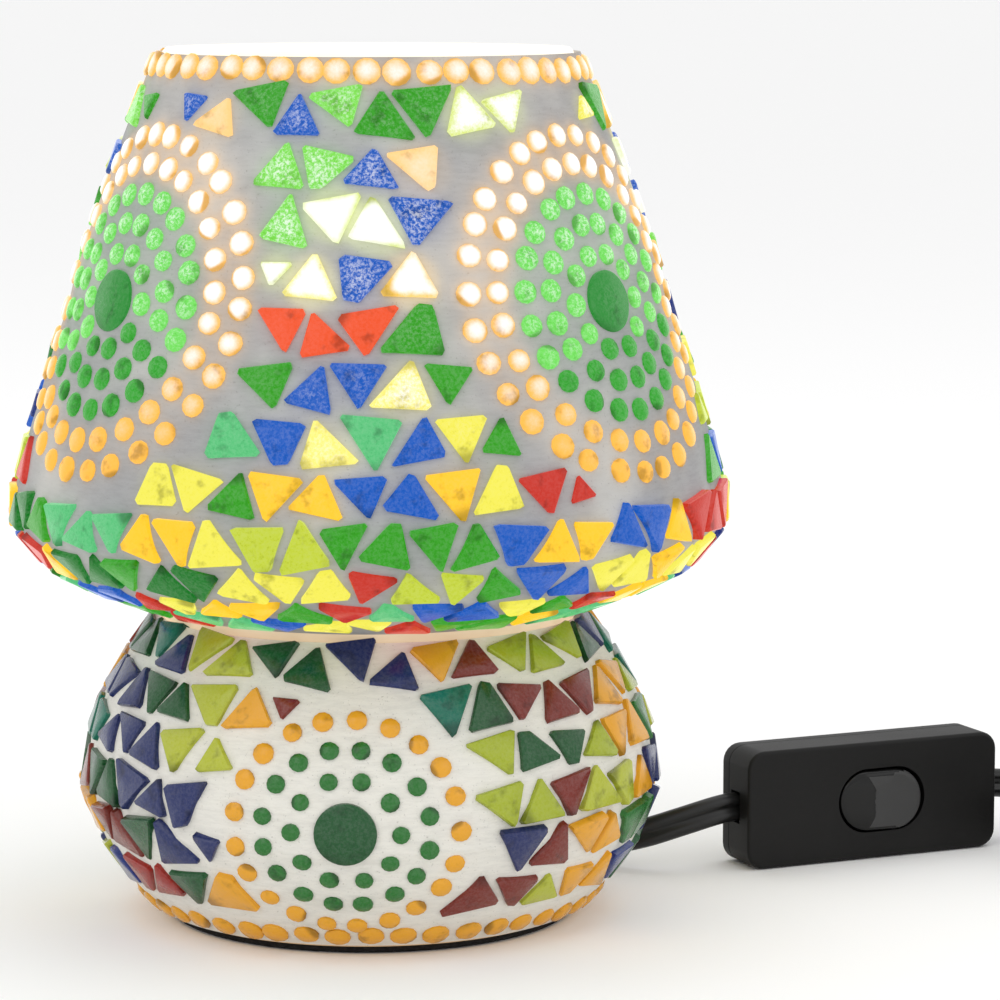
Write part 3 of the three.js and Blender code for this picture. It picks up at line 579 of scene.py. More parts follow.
def stadium_line(half_wide: float, half_high: float, count: int) -> list[tuple[float, float]]:
    """An outline with round ends, about its middle.

    Args:
        half_wide: half its whole width.
        half_high: half its height, the radius of its ends.
        count: the number of points.

    Returns:
        The points, anticlockwise.
    """
    line = []
    for k in range(count):
        angle = 2 * math.pi * k / count
        side = (half_wide - half_high) * (1 if math.cos(angle) > 0 else -1)
        line.append((side + half_high * math.cos(angle), half_high * math.sin(angle)))
    return line


def settle(piece: bpy.types.Object, name: str) -> bpy.types.Object:
    """Names a finished piece and moves its place into its mesh.

    Args:
        piece: the object.
        name: its name.

    Returns:
        The same object, at the origin, unturned and unscaled.
    """
    take(piece)
    bpy.ops.object.transform_apply(location=True, rotation=True, scale=True)
    piece.name = name
    piece.data.name = name
    piece.select_set(False)
    return piece


def modify(piece: bpy.types.Object, kind: str, **settings: object) -> None:
    """Adds a modifier and applies it.

    Args:
        piece: the object.
        kind: the modifier's type.
        **settings: its properties.
    """
    take(piece)
    modifier = piece.modifiers.new(kind.title(), kind)
    for key, value in settings.items():
        setattr(modifier, key, value)
    bpy.ops.object.modifier_apply(modifier=modifier.name)
    piece.select_set(False)


def smooth(piece: bpy.types.Object, degrees: float = 35) -> None:
    """Shades a piece smooth, with edges sharper than the angle kept crisp."""
    take(piece)
    bpy.ops.object.shade_smooth_by_angle(angle=math.radians(degrees))
    piece.select_set(False)


def turned(
    name: str, outline: Sequence[tuple[float, float]], facets: int, crease: float = 35,
) -> bpy.types.Object:
    """Models a turned piece by spinning its outline about the Z axis.

    Args:
        name: the piece's name.
        outline: radius and height of each point; it closes on itself or has both ends on the axis.
        facets: steps in a full turn.
        crease: the angle above which an edge stays crisp, in degrees.

    Returns:
        The finished piece.
    """
    mesh = bpy.data.meshes.new(name)
    closed = outline[0][0] > 1e-6
    edges = [(i, (i + 1) % len(outline)) for i in range(len(outline) - (0 if closed else 1))]
    mesh.from_pydata([(r, 0.0, z) for r, z in outline], edges, [])
    piece = bpy.data.objects.new(name, mesh)
    bpy.context.scene.collection.objects.link(piece)
    take(piece)
    bpy.ops.object.mode_set(mode="EDIT")
    bpy.ops.mesh.select_all(action="SELECT")
    bpy.ops.mesh.spin(steps=facets, angle=2 * math.pi, center=(0, 0, 0), axis=(0, 0, 1), dupli=False)
    bpy.ops.object.mode_set(mode="OBJECT")
    heal(piece, DOUBLES)
    smooth(piece, crease)
    return settle(piece, name)


def mesh_piece(name: str, points: Iterable[Vector], faces: Iterable[Sequence[int]]) -> bpy.types.Object:
    """Makes a piece from points and faces.

    Args:
        name: the piece's name.
        points: its vertices.
        faces: vertex numbers, anticlockwise from outside.

    Returns:
        The new object.
    """
    mesh = bpy.data.meshes.new(name)
    mesh.from_pydata([tuple(p) for p in points], [], [tuple(f) for f in faces])
    mesh.validate()
    piece = bpy.data.objects.new(name, mesh)
    bpy.context.scene.collection.objects.link(piece)
    return piece


def dress(piece: bpy.types.Object, finish: bpy.types.Material) -> None:
    """Gives a piece one finish all over."""
    piece.data.materials.clear()
    piece.data.materials.append(finish)


def ride(
    piece: bpy.types.Object, finish: bpy.types.Material, body: str = "root",
) -> bpy.types.Object:
    """Dresses a piece and ties it to its body.

    Args:
        piece: the finished piece.
        finish: its material.
        body: the body it moves with.

    Returns:
        The same piece.
    """
    dress(piece, finish)
    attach(piece, body)
    log.info("%s rides on %s: %d faces", piece.name, body, len(piece.data.polygons))
    return piece


def spline(points: Sequence[Sequence[float]], per_span: int) -> np.ndarray:
    """A centripetal Catmull-Rom curve through the points.

    Args:
        points: two or more points.
        per_span: samples between two neighbours.

    Returns:
        One row for each sample, the first and last points included.
    """
    knots = np.array(points, float)
    knots = np.vstack([2 * knots[0] - knots[1], knots, 2 * knots[-1] - knots[-2]])
    rows = []
    for i in range(1, len(knots) - 2):
        p0, p1, p2, p3 = knots[i - 1:i + 3]
        t1 = max(np.linalg.norm(p1 - p0) ** 0.5, 1e-9)
        t2 = t1 + max(np.linalg.norm(p2 - p1) ** 0.5, 1e-9)
        t3 = t2 + max(np.linalg.norm(p3 - p2) ** 0.5, 1e-9)
        for t in np.linspace(t1, t2, per_span, endpoint=False):
            a1 = (t1 - t) / t1 * p0 + t / t1 * p1
            a2 = (t2 - t) / (t2 - t1) * p1 + (t - t1) / (t2 - t1) * p2
            a3 = (t3 - t) / (t3 - t2) * p2 + (t - t2) / (t3 - t2) * p3
            b1 = (t2 - t) / t2 * a1 + t / t2 * a2
            b2 = (t3 - t) / (t3 - t1) * a2 + (t - t1) / (t3 - t1) * a3
            rows.append((t2 - t) / (t2 - t1) * b1 + (t - t1) / (t2 - t1) * b2)
    rows.append(knots[-2])
    return np.array(rows)


def even(points: np.ndarray, step: float) -> np.ndarray:
    """The same curve with its points a step apart."""
    along = np.concatenate([[0], np.cumsum(np.linalg.norm(np.diff(points, axis=0), axis=1))])
    places = np.linspace(0, along[-1], max(2, round(along[-1] / step) + 1))
    return np.stack([np.interp(places, along, points[:, k]) for k in range(points.shape[1])], axis=1)


def length_of(points: np.ndarray) -> float:
    """The length of a line through the points."""
    return float(np.linalg.norm(np.diff(points, axis=0), axis=1).sum())


# ---------------------------------------------------------------- the lamp's outline

class Outline:
    """A turned outline read from a CAD node, measured along its length from its lower end."""

    def __init__(self, node: str, step: float = 0.5 * MM) -> None:
        """Reads the rings of the node that lie on its outside.

        Args:
            node: a CAD node turned about the Z axis.
            step: spacing of the resampled outline.
        """
        mesh = frame["nodes"][node].data
        places = np.array([tuple(v.co) for v in mesh.vertices])
        radii = np.hypot(places[:, 0], places[:, 1])
        tree = BVHTree.FromPolygons([v.co for v in mesh.vertices], [tuple(f.vertices) for f in mesh.polygons])
        lowest, highest = float(places[:, 2].min()), float(places[:, 2].max())
        levels, counts = np.unique(np.round(places[:, 2], 5), return_counts=True)
        kept: list[tuple[float, float]] = []
        for level, count in zip(levels, counts):
            z = float(level)
            if count < 12 or (kept and z - kept[-1][1] < 0.8 * MM):
                continue
            radius = float(radii[np.abs(places[:, 2] - level) < 2e-5].max())
            probe = min(max(z, lowest + 0.1 * MM), highest - 0.1 * MM)
            reach = 0.0
            for k in range(36):
                out = Vector((math.cos(math.radians(10 * k)), math.sin(math.radians(10 * k)), 0))
                hit = tree.ray_cast(out * 0.3 + Vector((0, 0, probe)), -out)[0]
                reach = max(reach, math.hypot(hit.x, hit.y) if hit else 0.0)
            if radius > reach - 0.4 * MM:
                kept.append((radius, z))
        self.line = even(spline(kept, 24), step)
        self.step = step
        self.length = length_of(self.line)
        self.along = np.linspace(0, self.length, len(self.line))

    def radius(self, s: float) -> float:
        """The radius at a distance along the outline."""
        return float(np.interp(s, self.along, self.line[:, 0]))

    def height(self, s: float) -> float:
        """The height at a distance along the outline."""
        return float(np.interp(s, self.along, self.line[:, 1]))

    def at_height(self, z: float) -> float:
        """The distance along the outline at which it reaches a height."""
        return float(self.along[int(np.argmin(np.abs(self.line[:, 1] - z)))])

    def slope(self, s: float) -> tuple[float, float]:
        """The unit direction of the outline, outwards and upwards."""
        a, b = max(0.0, s - 1.5 * MM), min(self.length, s + 1.5 * MM)
        dr, dz = self.radius(b) - self.radius(a), self.height(b) - self.height(a)
        size = math.hypot(dr, dz)
        return dr / size, dz / size

    def offset(self, inwards: float, start: float = 0.0, end: float | None = None, count: int = 60) -> list:
        """The outline moved inwards, as radius and height pairs from its lower end up.

        Args:
            inwards: how far, along its own normal.
            start: where it starts.
            end: where it ends.
            count: the number of points.

        Returns:
            The points.
        """
        rows = []
        for s in np.linspace(start, self.length if end is None else end, count):
            dr, dz = self.slope(s)
            rows.append((max(0.0005, self.radius(s) - dz * inwards), self.height(s) + dr * inwards))
        return rows

    def spot(self, azimuth: float, s: float, sink: float = 0.0) -> tuple[Vector, Vector, Vector, Vector]:
        """A place on the outline's surface with its own axes.

        Args:
            azimuth: degrees from the front, + to the right.
            s: distance along the outline.
            sink: how far below the surface.

        Returns:
            The place, the direction to the right, the direction up the surface and the outward normal.
        """
        angle = math.radians(azimuth)
        out = Vector((math.sin(angle), -math.cos(angle), 0))
        right = Vector((math.cos(angle), math.sin(angle), 0))
        dr, dz = self.slope(s)
        up = out * dr + Vector((0, 0, dz))
        normal = out * dz - Vector((0, 0, dr))
        place = out * self.radius(s) + Vector((0, 0, self.height(s)))
        return place - normal * sink, right, up, normal


# ---------------------------------------------------------------- glass pieces

class GlassTray:
    """Collects many small glass pieces into one mesh with a tint and a chip-local place each."""

    def __init__(self) -> None:
        """Starts empty."""
        self.points: list[Vector] = []
        self.faces: list[tuple[int, ...]] = []
        self.tints: list[tuple[float, float, float, float]] = []
        self.inner: list[tuple[float, float, float]] = []
        self.sources: list[tuple[Vector, tuple[float, float, float, float], float, float]] = []

    def _add(self, point: Vector, tint: tuple, inner: tuple[float, float, float]) -> int:
        """Adds a vertex and returns its number."""
        self.points.append(point)
        self.tints.append(tint)
        self.inner.append(inner)
        return len(self.points) - 1

    def lay(
        self, rim: Sequence[Vector], normal: Vector, thickness: float, bevel: float, dome: float, tint: Tint,
        heat: float,
    ) -> None:
        """Lays one piece whose top rim is given, its body going inwards.

        Args:
            rim: corners of its top outline, anticlockwise from outside.
            normal: the outward normal.
            thickness: how far down it goes.
            bevel: width of its softened edge.
            dome: how far its middle stands above its rim.
            tint: its colour.
            heat: from 0 to 1, how far the light behind washes it out.
        """
        centre = sum(rim, Vector()) / len(rim)
        reach = max((p - centre).length for p in rim)
        lot = random.Random(len(self.points))
        shade_way = (rim[lot.randrange(len(rim))] - centre).normalized() * lot.choice((0.3, 0.7, 1.0))
        colour = (*linear(tint.value)[:3], GRAIN.get(tint, 1.0))
        base = len(self.points)
        count = len(rim)
        for scale, drop in ((1.0, thickness), (1.0, bevel), (None, 0.0)):
            for point in rim:
                arm = point - centre
                if scale is None:
                    arm = arm * max(0.5, 1 - 1.4 * bevel / max(arm.length, 1e-6))
                share = arm / reach
                self._add(centre + arm - normal * drop, colour, (share.length, share.dot(shade_way), heat))
        top = self._add(centre + normal * dome, colour, (0.0, 0.0, heat))
        self.faces += tube_faces(3, count, base)
        last = base + 2 * count
        self.faces += [(last + k, last + (k + 1) % count, top) for k in range(count)]
        self.faces.append(tuple(base + k for k in reversed(range(count))))
        self.sources.append((centre, colour, heat, reach))

    def piece(self, name: str) -> bpy.types.Object:
        """Makes the mesh with its tint and inner attributes.

        Args:
            name: the piece's name.

        Returns:
            The new object.
        """
        made = mesh_piece(name, self.points, self.faces)
        tint = made.data.attributes.new("tint", "FLOAT_COLOR", "POINT")
        tint.data.foreach_set("color", np.array(self.tints, "f").ravel())
        inner = made.data.attributes.new("inner", "FLOAT_VECTOR", "POINT")
        inner.data.foreach_set("vector", np.array(self.inner, "f").ravel())
        smooth(made, 40)
        return made


def apart(first: Sequence[tuple[float, float]], second: Sequence[tuple[float, float]]) -> float:
    """The gap between two convex outlines along their widest separating side.

    Args:
        first: corners of one outline.
        second: corners of the other.

    Returns:
        The gap, negative where they overlap.
    """
    best = -1.0
    for shape in (first, second):
        for k, (x, y) in enumerate(shape):
            px, py = shape[k - 1]
            nx, ny = y - py, px - x
            size = math.hypot(nx, ny)
            if size < 1e-7:
                continue
            one = [(ax * nx + ay * ny) / size for ax, ay in first]
            two = [(ax * nx + ay * ny) / size for ax, ay in second]
            best = max(best, min(two) - max(one), min(one) - max(two))
    return best


@dataclass
class Chip:
    """One hand-cut piece on its own tangent plane."""

    azimuth: float
    s: float
    place: Vector
    right: Vector
    up: Vector
    normal: Vector
    shape: list[tuple[float, float]]
    tint: Tint

    def rim(self) -> list[Vector]:
        """Its corners in space."""
        return [self.place + self.right * x + self.up * y for x, y in self.shape]

    def middle(self) -> Vector:
        """The middle of its corners in space."""
        rim = self.rim()
        return sum(rim, Vector()) / len(rim)

    def seen(self, other: "Chip") -> list[tuple[float, float]]:
        """Another piece's corners on this one's plane."""
        return [((p - self.place).dot(self.right), (p - self.place).dot(self.up)) for p in other.rim()]

    def shift(self, push: Vector, scale: float) -> None:
        """Moves the piece along its plane and scales it about its middle."""
        dx, dy = push.dot(self.right), push.dot(self.up)
        mx = sum(x for x, _ in self.shape) / len(self.shape)
        my = sum(y for _, y in self.shape) / len(self.shape)
        self.shape = [(mx + (x - mx) * scale + dx, my + (y - my) * scale + dy) for x, y in self.shape]

    def reach(self) -> float:
        """Half its greatest size."""
        mx = sum(x for x, _ in self.shape) / len(self.shape)
        my = sum(y for _, y in self.shape) / len(self.shape)
        return max(math.hypot(x - mx, y - my) for x, y in self.shape)


@dataclass
class Medallion:
    """A disc of glass ringed by round beads."""

    azimuth: float
    height: float
    disc: float
    rings: Sequence[tuple[float, int, Tint, float]]

    @property
    def reach(self) -> float:
        """The radius that its outermost beads take up."""
        return self.rings[-1][0] + self.rings[-1][3]


@dataclass
class Mosaic:
    """One zone of grout with the glass laid in it."""

    zone: str
    node: str
    lit: bool
    rows: Sequence[tuple[float, float, float, str]]
    palette: Sequence[Tint]
    medallions: Sequence[Medallion]
    bead_height: float
    bead_count: int
    chip_width: float = 13.4 * MM
    chip_height: float = 10.6 * MM
    pitch: float = 8.7 * MM
    bed: float = 1.0 * MM
    gap: float = 1.2 * MM
    bead_depth: float = 1.6 * MM
    chip_depth: float = 1.9 * MM
    smallest: float = 3.1 * MM
    seed: int = SEED
    outline: Outline = field(init=False)
    chance: random.Random = field(init=False)
    trays: dict[str, GlassTray] = field(default_factory=dict)
    cut: list[Chip] = field(default_factory=list)

    def __post_init__(self) -> None:
        """Reads the outline and seeds the hand's unevenness."""
        self.outline = Outline(self.node)
        self.chance = random.Random(self.seed)

    def heat(self, place: Vector, tint: Tint) -> float:
        """How far the bulb behind washes a piece out, from its height and its colour."""
        if not self.lit:
            return 0.0
        level = math.exp(-((place.z - HOT_HEIGHT) / HOT_SPREAD) ** 2)
        return min(1.0, level * WASH.get(tint, PLAIN_WASH))

    def _tray(self, name: str) -> GlassTray:
        """The tray of that name."""
        return self.trays.setdefault(name, GlassTray())

    def bead(self, tray: str, azimuth: float, s: float, radius: float, tint: Tint, corners: int = 12) -> None:
        """Lays one round domed bead.

        Args:
            tray: where it is collected.
            azimuth: degrees from the front.
            s: distance along the outline.
            radius: its radius.
            tint: its colour.
            corners: corners of its rim.
        """
        place, right, up, normal = self.outline.spot(azimuth, s, self.bed * 0.15)
        small = corners < 20
        size = radius * (self.chance.uniform(0.93, 1.05) if small else 1.0)
        turn = self.chance.uniform(0, 1)
        squash = self.chance.uniform(0.92, 1.0) if small else 1.0
        rim = []
        for k in range(corners):
            angle = 2 * math.pi * (k + turn) / corners
            wobble = size * (self.chance.uniform(0.98, 1.02) if small else 1.0)
            rim.append(place + right * (wobble * math.cos(angle)) + up * (wobble * squash * math.sin(angle)))
        heat = self.heat(place, tint)
        self._tray(tray).lay(rim, normal, self.bead_depth, 0.45 * MM, 0.2 * MM, tint, heat)

    def lay_rings(self) -> None:
        """Lays the discs and the bead rings of the medallions."""
        for number, medallion in enumerate(self.medallions, 1):
            centre = self.outline.at_height(medallion.height)
            disc = f"{self.zone}_medallion_disc_{number}"
            green = Tint.DISC if self.lit else Tint.ROOM_DARK
            self.bead(disc + "_glass", medallion.azimuth, centre, medallion.disc, green, 36)
            middle = self.outline.radius(centre)
            for ring, (reach, count, tint, radius) in enumerate(medallion.rings):
                for k in range(count):
                    angle = 2 * math.pi * (k + 0.5 * (ring % 2)) / count + self.chance.uniform(-0.02, 0.02)
                    s = centre + reach * math.sin(angle)
                    if not 1.5 * MM < s < self.outline.length - 1.5 * MM:
                        continue
                    around = 0.5 * (middle + self.outline.radius(s))
                    azimuth = medallion.azimuth + math.degrees(reach * math.cos(angle) / around)
                    tone = tint
                    # Beads lower than about 12 cm are drawn darker green: painted falloff of the bulb's light
                    # on the same glass.
                    if tint is Tint.SPRING and self.outline.height(s) < self.chance.uniform(0.118, 0.130):
                        tone = Tint.FERN
                    self.bead(f"{self.zone}_medallion_beads_{number}", azimuth, s, radius, tone)

    def lay_border(self) -> None:
        """Lays the row of amber beads at the zone's free edge."""
        s = self.outline.at_height(self.bead_height)
        for k in range(self.bead_count):
            azimuth = 360 * (k + self.chance.uniform(-0.08, 0.08)) / self.bead_count
            sway = self.chance.uniform(-0.3, 0.3) * MM
            if self.lit:
                sway -= 0.5 * MM * (1 + math.sin(math.radians(azimuth)))
                tone = Tint.HONEY
            else:
                tone = Tint.ROOM_AMBER
            self.bead(f"{self.zone}_border_beads", azimuth, s + sway, 2.8 * MM, tone)

    def clear_of_medallions(self, azimuth: float, s: float) -> float:
        """The room from a place to the nearest medallion's outer beads, in metres."""
        room = 1.0
        for medallion in self.medallions:
            centre = self.outline.at_height(medallion.height)
            turn = (azimuth - medallion.azimuth + 180) % 360 - 180
            around = 0.5 * (self.outline.radius(centre) + self.outline.radius(s))
            gap = math.hypot(math.radians(turn) * around, s - centre) - medallion.reach
            room = min(room, gap)
        return room

    def chip(self, azimuth: float, s: float, upright: bool, size: float, tint: Tint) -> None:
        """Cuts one triangle.

        Args:
            azimuth: degrees from the front.
            s: distance along the outline at its middle.
            upright: points up the surface.
            size: its share of the full size.
            tint: its colour.
        """
        pick = self.chance
        place, right, up, normal = self.outline.spot(azimuth, s, self.bed * 0.1)
        lean = math.radians(pick.uniform(-13, 13))
        tip = 1 if upright else -1
        width = self.chip_width * size * pick.uniform(0.9, 1.1)
        height = self.chip_height * size * pick.uniform(0.94, 1.08)
        apex = pick.uniform(-0.2, 0.2) * width
        foot = -tip * height * 0.42
        corners = [(-width / 2, foot), (width / 2, foot), (apex, tip * height * 0.58)]
        if pick.random() < 0.2:
            cut = pick.uniform(0.18, 0.3) * width
            corners[2:] = [(apex + cut / 2, tip * height * 0.5), (apex - cut / 2, tip * height * 0.52)]
        corners = [(x + pick.uniform(-0.5, 0.5) * MM, y + pick.uniform(-0.4, 0.4) * MM) for x, y in corners]
        shape = []
        count = len(corners)
        for k, (x, y) in enumerate(corners):
            for other in (corners[k - 1], corners[(k + 1) % count]):
                share = pick.uniform(0.04, 0.12)
                px, py = x + (other[0] - x) * share, y + (other[1] - y) * share
                turned_x = px * math.cos(lean) - py * math.sin(lean)
                shape.append((turned_x, px * math.sin(lean) + py * math.cos(lean)))
        if not upright:
            shape.reverse()
        self.cut.append(Chip(azimuth, s, place, right, up, normal, shape, tint))

    def settle_chips(self, passes: int = 26) -> None:
        """Shifts and trims the chips until each keeps its gap to its neighbours and to the beads.

        Args:
            passes: how often all pairs are looked at.
        """
        pairs = [
            (one, two) for i, one in enumerate(self.cut) for two in self.cut[i + 1:]
            if (one.place - two.place).length < 18 * MM
        ]
        for _ in range(passes):
            for one, two in pairs:
                gap = apart(one.shape, one.seen(two))
                if gap < self.gap:
                    need = min(self.gap - gap, 1.0 * MM)
                    away = one.middle() - two.middle()
                    away.normalize()
                    one.shift(away * (0.16 * need), 1 - 0.010 * need / MM - 0.004)
                    two.shift(away * (-0.16 * need), 1 - 0.010 * need / MM - 0.004)
            for chip in self.cut:
                around = self.outline.radius(chip.s)
                clear = min(
                    self.clear_of_medallions(chip.azimuth + math.degrees(x / around), chip.s + y)
                    for x, y in chip.shape
                )
                if clear < self.gap + 0.2 * MM:
                    chip.shift(Vector(), 0.955)
        for chip in self.cut:
            if chip.reach() > self.smallest:
                rim = chip.rim()
                heat = self.heat(chip.place, chip.tint)
                tray = self._tray(f"{self.zone}_chips")
                tray.lay(rim, chip.normal, self.chip_depth, 0.3 * MM, 0.0, chip.tint, heat)

    def lay_field(self) -> None:
        """Lays the rows of triangles between the medallions, each row by its own words at the front."""
        for height, left, right_end, words in self.rows:
            s = self.outline.at_height(height * MM)
            names = words.split()
            around = 2 * math.pi * self.outline.radius(s)
            count = 2 * round(around / self.pitch / 2)
            start = self.chance.uniform(0, 360 / count)
            for k in range(count):
                azimuth = (start + 360 * k / count + self.chance.uniform(-0.5, 0.5) + 180) % 360 - 180
                place = s + self.chance.uniform(-0.5, 0.5) * MM
                room = self.clear_of_medallions(azimuth, place)
                if room < 1.6 * MM:
                    continue
                size = 1.08 if room > 5.0 * MM else 0.85
                if names and left <= azimuth <= right_end:
                    index = int((azimuth - left) / (right_end - left) * len(names) * 0.9999)
                    tint = Tint[("" if self.lit else "ROOM_") + names[index].upper()]
                else:
                    tint = self.chance.choice(self.palette_at(height))
                self.chip(azimuth, place, k % 2 == 0, size, tint)

    def palette_at(self, height: float) -> Sequence[Tint]:
        """The colours to draw from at a height in millimetres."""
        return HOT_PALETTE if self.lit and height > HOT_FROM else self.palette

    def lay_bed(self, glow: float) -> bpy.types.Object:
        """Spins the grout bed and gives it the light that spills from the glass.

        Args:
            glow: strength of the spill.

        Returns:
            The grout.
        """
        count = int(self.outline.length / (1.2 * MM))
        outside = self.outline.offset(self.bed, 0.0, self.outline.length, count)
        inside = self.outline.offset(2.5 * MM, 0.3 * MM, self.outline.length - 0.3 * MM, 24)
        bed = turned(f"{self.zone}_grout", outside + inside[::-1], 330 if self.lit else 240, 50)
        places = np.array([tuple(v.co) for v in bed.data.vertices], "f")
        spill = np.zeros((len(places), 4), "f")
        spill[:, 3] = 1
        tree = kdtree.KDTree(sum(len(t.sources) for t in self.trays.values()))
        sources = [source for tray in self.trays.values() for source in tray.sources]
        for number, (centre, *_) in enumerate(sources):
            tree.insert(centre, number)
        tree.balance()
        for row, place in enumerate(places):
            total = np.zeros(3)
            for _, number, distance in tree.find_range(Vector(place), 10 * MM):
                _, colour, heat, reach = sources[number]
                past = max(0.0, distance - 0.7 * reach)
                near = math.exp(-(past / (1.5 * MM)) ** 2) + 0.25 * math.exp(-(past / (4 * MM)) ** 2)
                total += np.array(colour[:3]) * (0.06 + 0.8 * heat) * near
            spill[row, :3] = np.minimum(total * glow, 1.0)
        # On the base, the top of the grout near the waist glows red and green: painted light, as if cast by
        # the shade's glass above.
        if not self.lit:
            level = np.clip((places[:, 2] - 0.052) / 0.012, 0, 1) ** 2
            wave = 0.5 + 0.5 * np.sin(np.arctan2(places[:, 0], -places[:, 1]) * 7)
            painted_red_light, painted_green_light = (0.30, 0.05, 0.05), (0.16, 0.17, 0.02)
            spill[:, :3] = np.outer(level * wave, painted_red_light) + np.outer(level * (1 - wave), painted_green_light)
        attribute = bed.data.attributes.new("spill", "FLOAT_COLOR", "POINT")
        attribute.data.foreach_set("color", spill.ravel())
        return bed

    def build(self, grout: Grout, glass: StainedGlass) -> None:
        """Lays the whole zone and dresses it.

        Args:
            grout: the bed's finish.
            glass: the glass pieces' finish.
        """
        self.lay_rings()
        self.lay_border()
        self.lay_field()
        self.settle_chips()
        bed = ride(self.lay_bed(0.26 if self.lit else 0.0), grout.build())
        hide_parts(self.node)
        finish = glass.build()
        for name, tray in self.trays.items():
            piece = tray.piece(name)
            is_disc = "medallion_disc" in name
            ride(piece, finish)
            if is_disc:
                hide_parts(name.replace("_glass", ""))


def shade_rings() -> list[tuple[float, int, Tint, float]]:
    """The bead rings of a shade medallion: reach, count, colour and bead radius."""
    return [
        (10.0 * MM, 10, Tint.SPRING, 2.35 * MM), (16.2 * MM, 16, Tint.SPRING, 2.4 * MM),
        (22.4 * MM, 21, Tint.SPRING, 2.45 * MM), (28.7 * MM, 26, Tint.HONEY, 2.5 * MM),
        (34.9 * MM, 31, Tint.HONEY, 2.55 * MM),
    ]


def base_rings() -> list[tuple[float, int, Tint, float]]:
    """The bead rings of a base medallion: reach, count, colour and bead radius."""
    return [
        (11.2 * MM, 10, Tint.ROOM_GREEN, 1.9 * MM), (17.4 * MM, 16, Tint.ROOM_GREEN, 2.0 * MM),
        (23.6 * MM, 21, Tint.ROOM_AMBER, 2.1 * MM),
    ]


SHADE_ROWS = (
    (170.0, -66, 70, "pale green blue cream green blue leaf green green white white cream white pale yellow"),
    (159.6, -29, 20, "blue leaf leaf leaf blue white cream cream"),
    (149.2, -24, 20, "cream leaf white white white blue blue"),
    (138.8, -20, 18, "white pale blue blue amber amber"),
    (128.4, -24, 20, "orange orange orange green orange"),
    (118.0, -28, 24, "blue green blue pale green dark"),
    (107.6, -36, 26, "mint mint blue pale mint blue yellow green"),
    (97.4, -76, 78,
     "navy yellow blue red yellow yellow green amber blue blue amber yellow red yellow green red red green"),
    (87.4, -80, 80,
     "dark green mint mint amber yellow olive green green green blue amber blue amber red red"),
    (78.2, -80, 80, "red amber dark green dark yellow yellow red olive green blue yellow amber yellow red"),
    (72.6, -80, 80, "green mint blue red yellow amber green red mint blue yellow green red amber mint blue"),
    (68.3, -80, 80, "blue green red mint blue yellow red green amber mint green yellow"),
)
BASE_ROWS = (
    (60.4, -85, 85, "dark teal navy lime dark dark navy amber "
     "maroon olive olive dark navy"),
    (51.6, -85, 85, "navy navy dark lime amber maroon lime teal "
     "dark maroon maroon amber olive"),
    (42.6, -85, 85, "teal navy navy lime teal navy maroon olive "
     "olive dark olive amber green"),
    (32.8, -85, 85, "maroon dark navy navy olive amber lime maroon "
     "navy olive maroon lime amber navy"),
    (22.8, -85, 85, "amber maroon dark navy lime lime amber royal "
     "navy maroon amber green navy"),
    (13.2, -85, 85, "lime royal red dark amber dark red teal "
     "maroon lime amber royal dark"),
)


# ---------------------------------------------------------------- glass, bulb and holder

@dataclass
class GlassJar:
    """The plain glass body under the mosaic, lit from inside."""

    skin: float = 2.7 * MM
    wall: float = 2.2 * MM
    light: tuple[float, float, float] = (0.0, 0.0, 0.1428)

    def build(self, shade: Outline, base: Outline) -> None:
        """Spins the whole jar, open at its mouth, and dresses it.

        Args:
            shade: the outline of the shade's skin.
            base: the outline of the base's skin.
        """
        low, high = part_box("glass_body")
        outside = base.offset(self.skin, 1.0 * MM, base.length, 30)
        outside += shade.offset(self.skin, 2 * MM, None, 60)
        inner = base.offset(self.skin + self.wall, 4.0 * MM, base.length, 30)
        inner += shade.offset(self.skin + self.wall, 2 * MM, None, 60)
        lip = [(outside[-1][0], high.z - 0.6 * MM), (outside[-1][0] - 0.6 * MM, high.z)]
        lip += [(inner[-1][0] + 0.6 * MM, high.z), (inner[-1][0], high.z - 0.6 * MM)]
        floor_in = [(inner[0][0] * 0.96, low.z + 3 * MM), (0.0, low.z + 3 * MM)]
        line = [(0.0, low.z), (outside[0][0] * 0.97, low.z)] + outside[1:-1] + lip + inner[-2:0:-1] + floor_in
        jar = turned("glass_jar", line, 144, 40)
        finish = LitGlass("lit_clear_glass", (1.0, 0.97, 0.88), (0.66, 0.55, 0.42), 1.0, 0.125, self.light)
        ride(jar, finish.build())
        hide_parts("glass_body")


@dataclass
class Bulb:
    """The round opal bulb with its screw cap."""

    thread_pitch: float = 2.8 * MM
    thread_depth: float = 0.45 * MM

    def build(self) -> None:
        """Spins the globe and the threaded cap."""
        low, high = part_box("bulb_glass")
        globe = Outline("bulb_glass", 0.6 * MM)
        line = [(0.0, low.z)] + [tuple(p) for p in globe.line[::2]] + [(0.0, high.z)]
        glass = turned("bulb_globe", line, 64, 60)
        centre = (0.0, 0.0, high.z - 0.0225)
        finish = LitGlass("lit_opal_glass", (1.0, 0.99, 0.93), (1.0, 0.86, 0.62), 1.4, 0.05, centre)
        ride(glass, finish.build(), "bulb")
        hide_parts("bulb_glass")
        low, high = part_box("bulb_screw_cap")
        radius = high.x
        line = [(0.0, low.z)]
        steps = 56
        for k in range(steps + 1):
            z = low.z + (high.z - low.z) * k / steps
            wave = 0.5 + 0.5 * math.cos(2 * math.pi * (z - low.z) / self.thread_pitch)
            fade = min(1.0, (high.z - z) / (5 * MM))
            line.append((radius - self.thread_depth * (1 - wave * fade), z))
        line.append((0.0, high.z))
        cap = turned("bulb_thread_cap", line, 48, 60)
        ride(cap, Metal("bulb_cap_nickel", (0.72, 0.71, 0.68), 0.3).build(), "bulb")
        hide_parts("bulb_screw_cap")


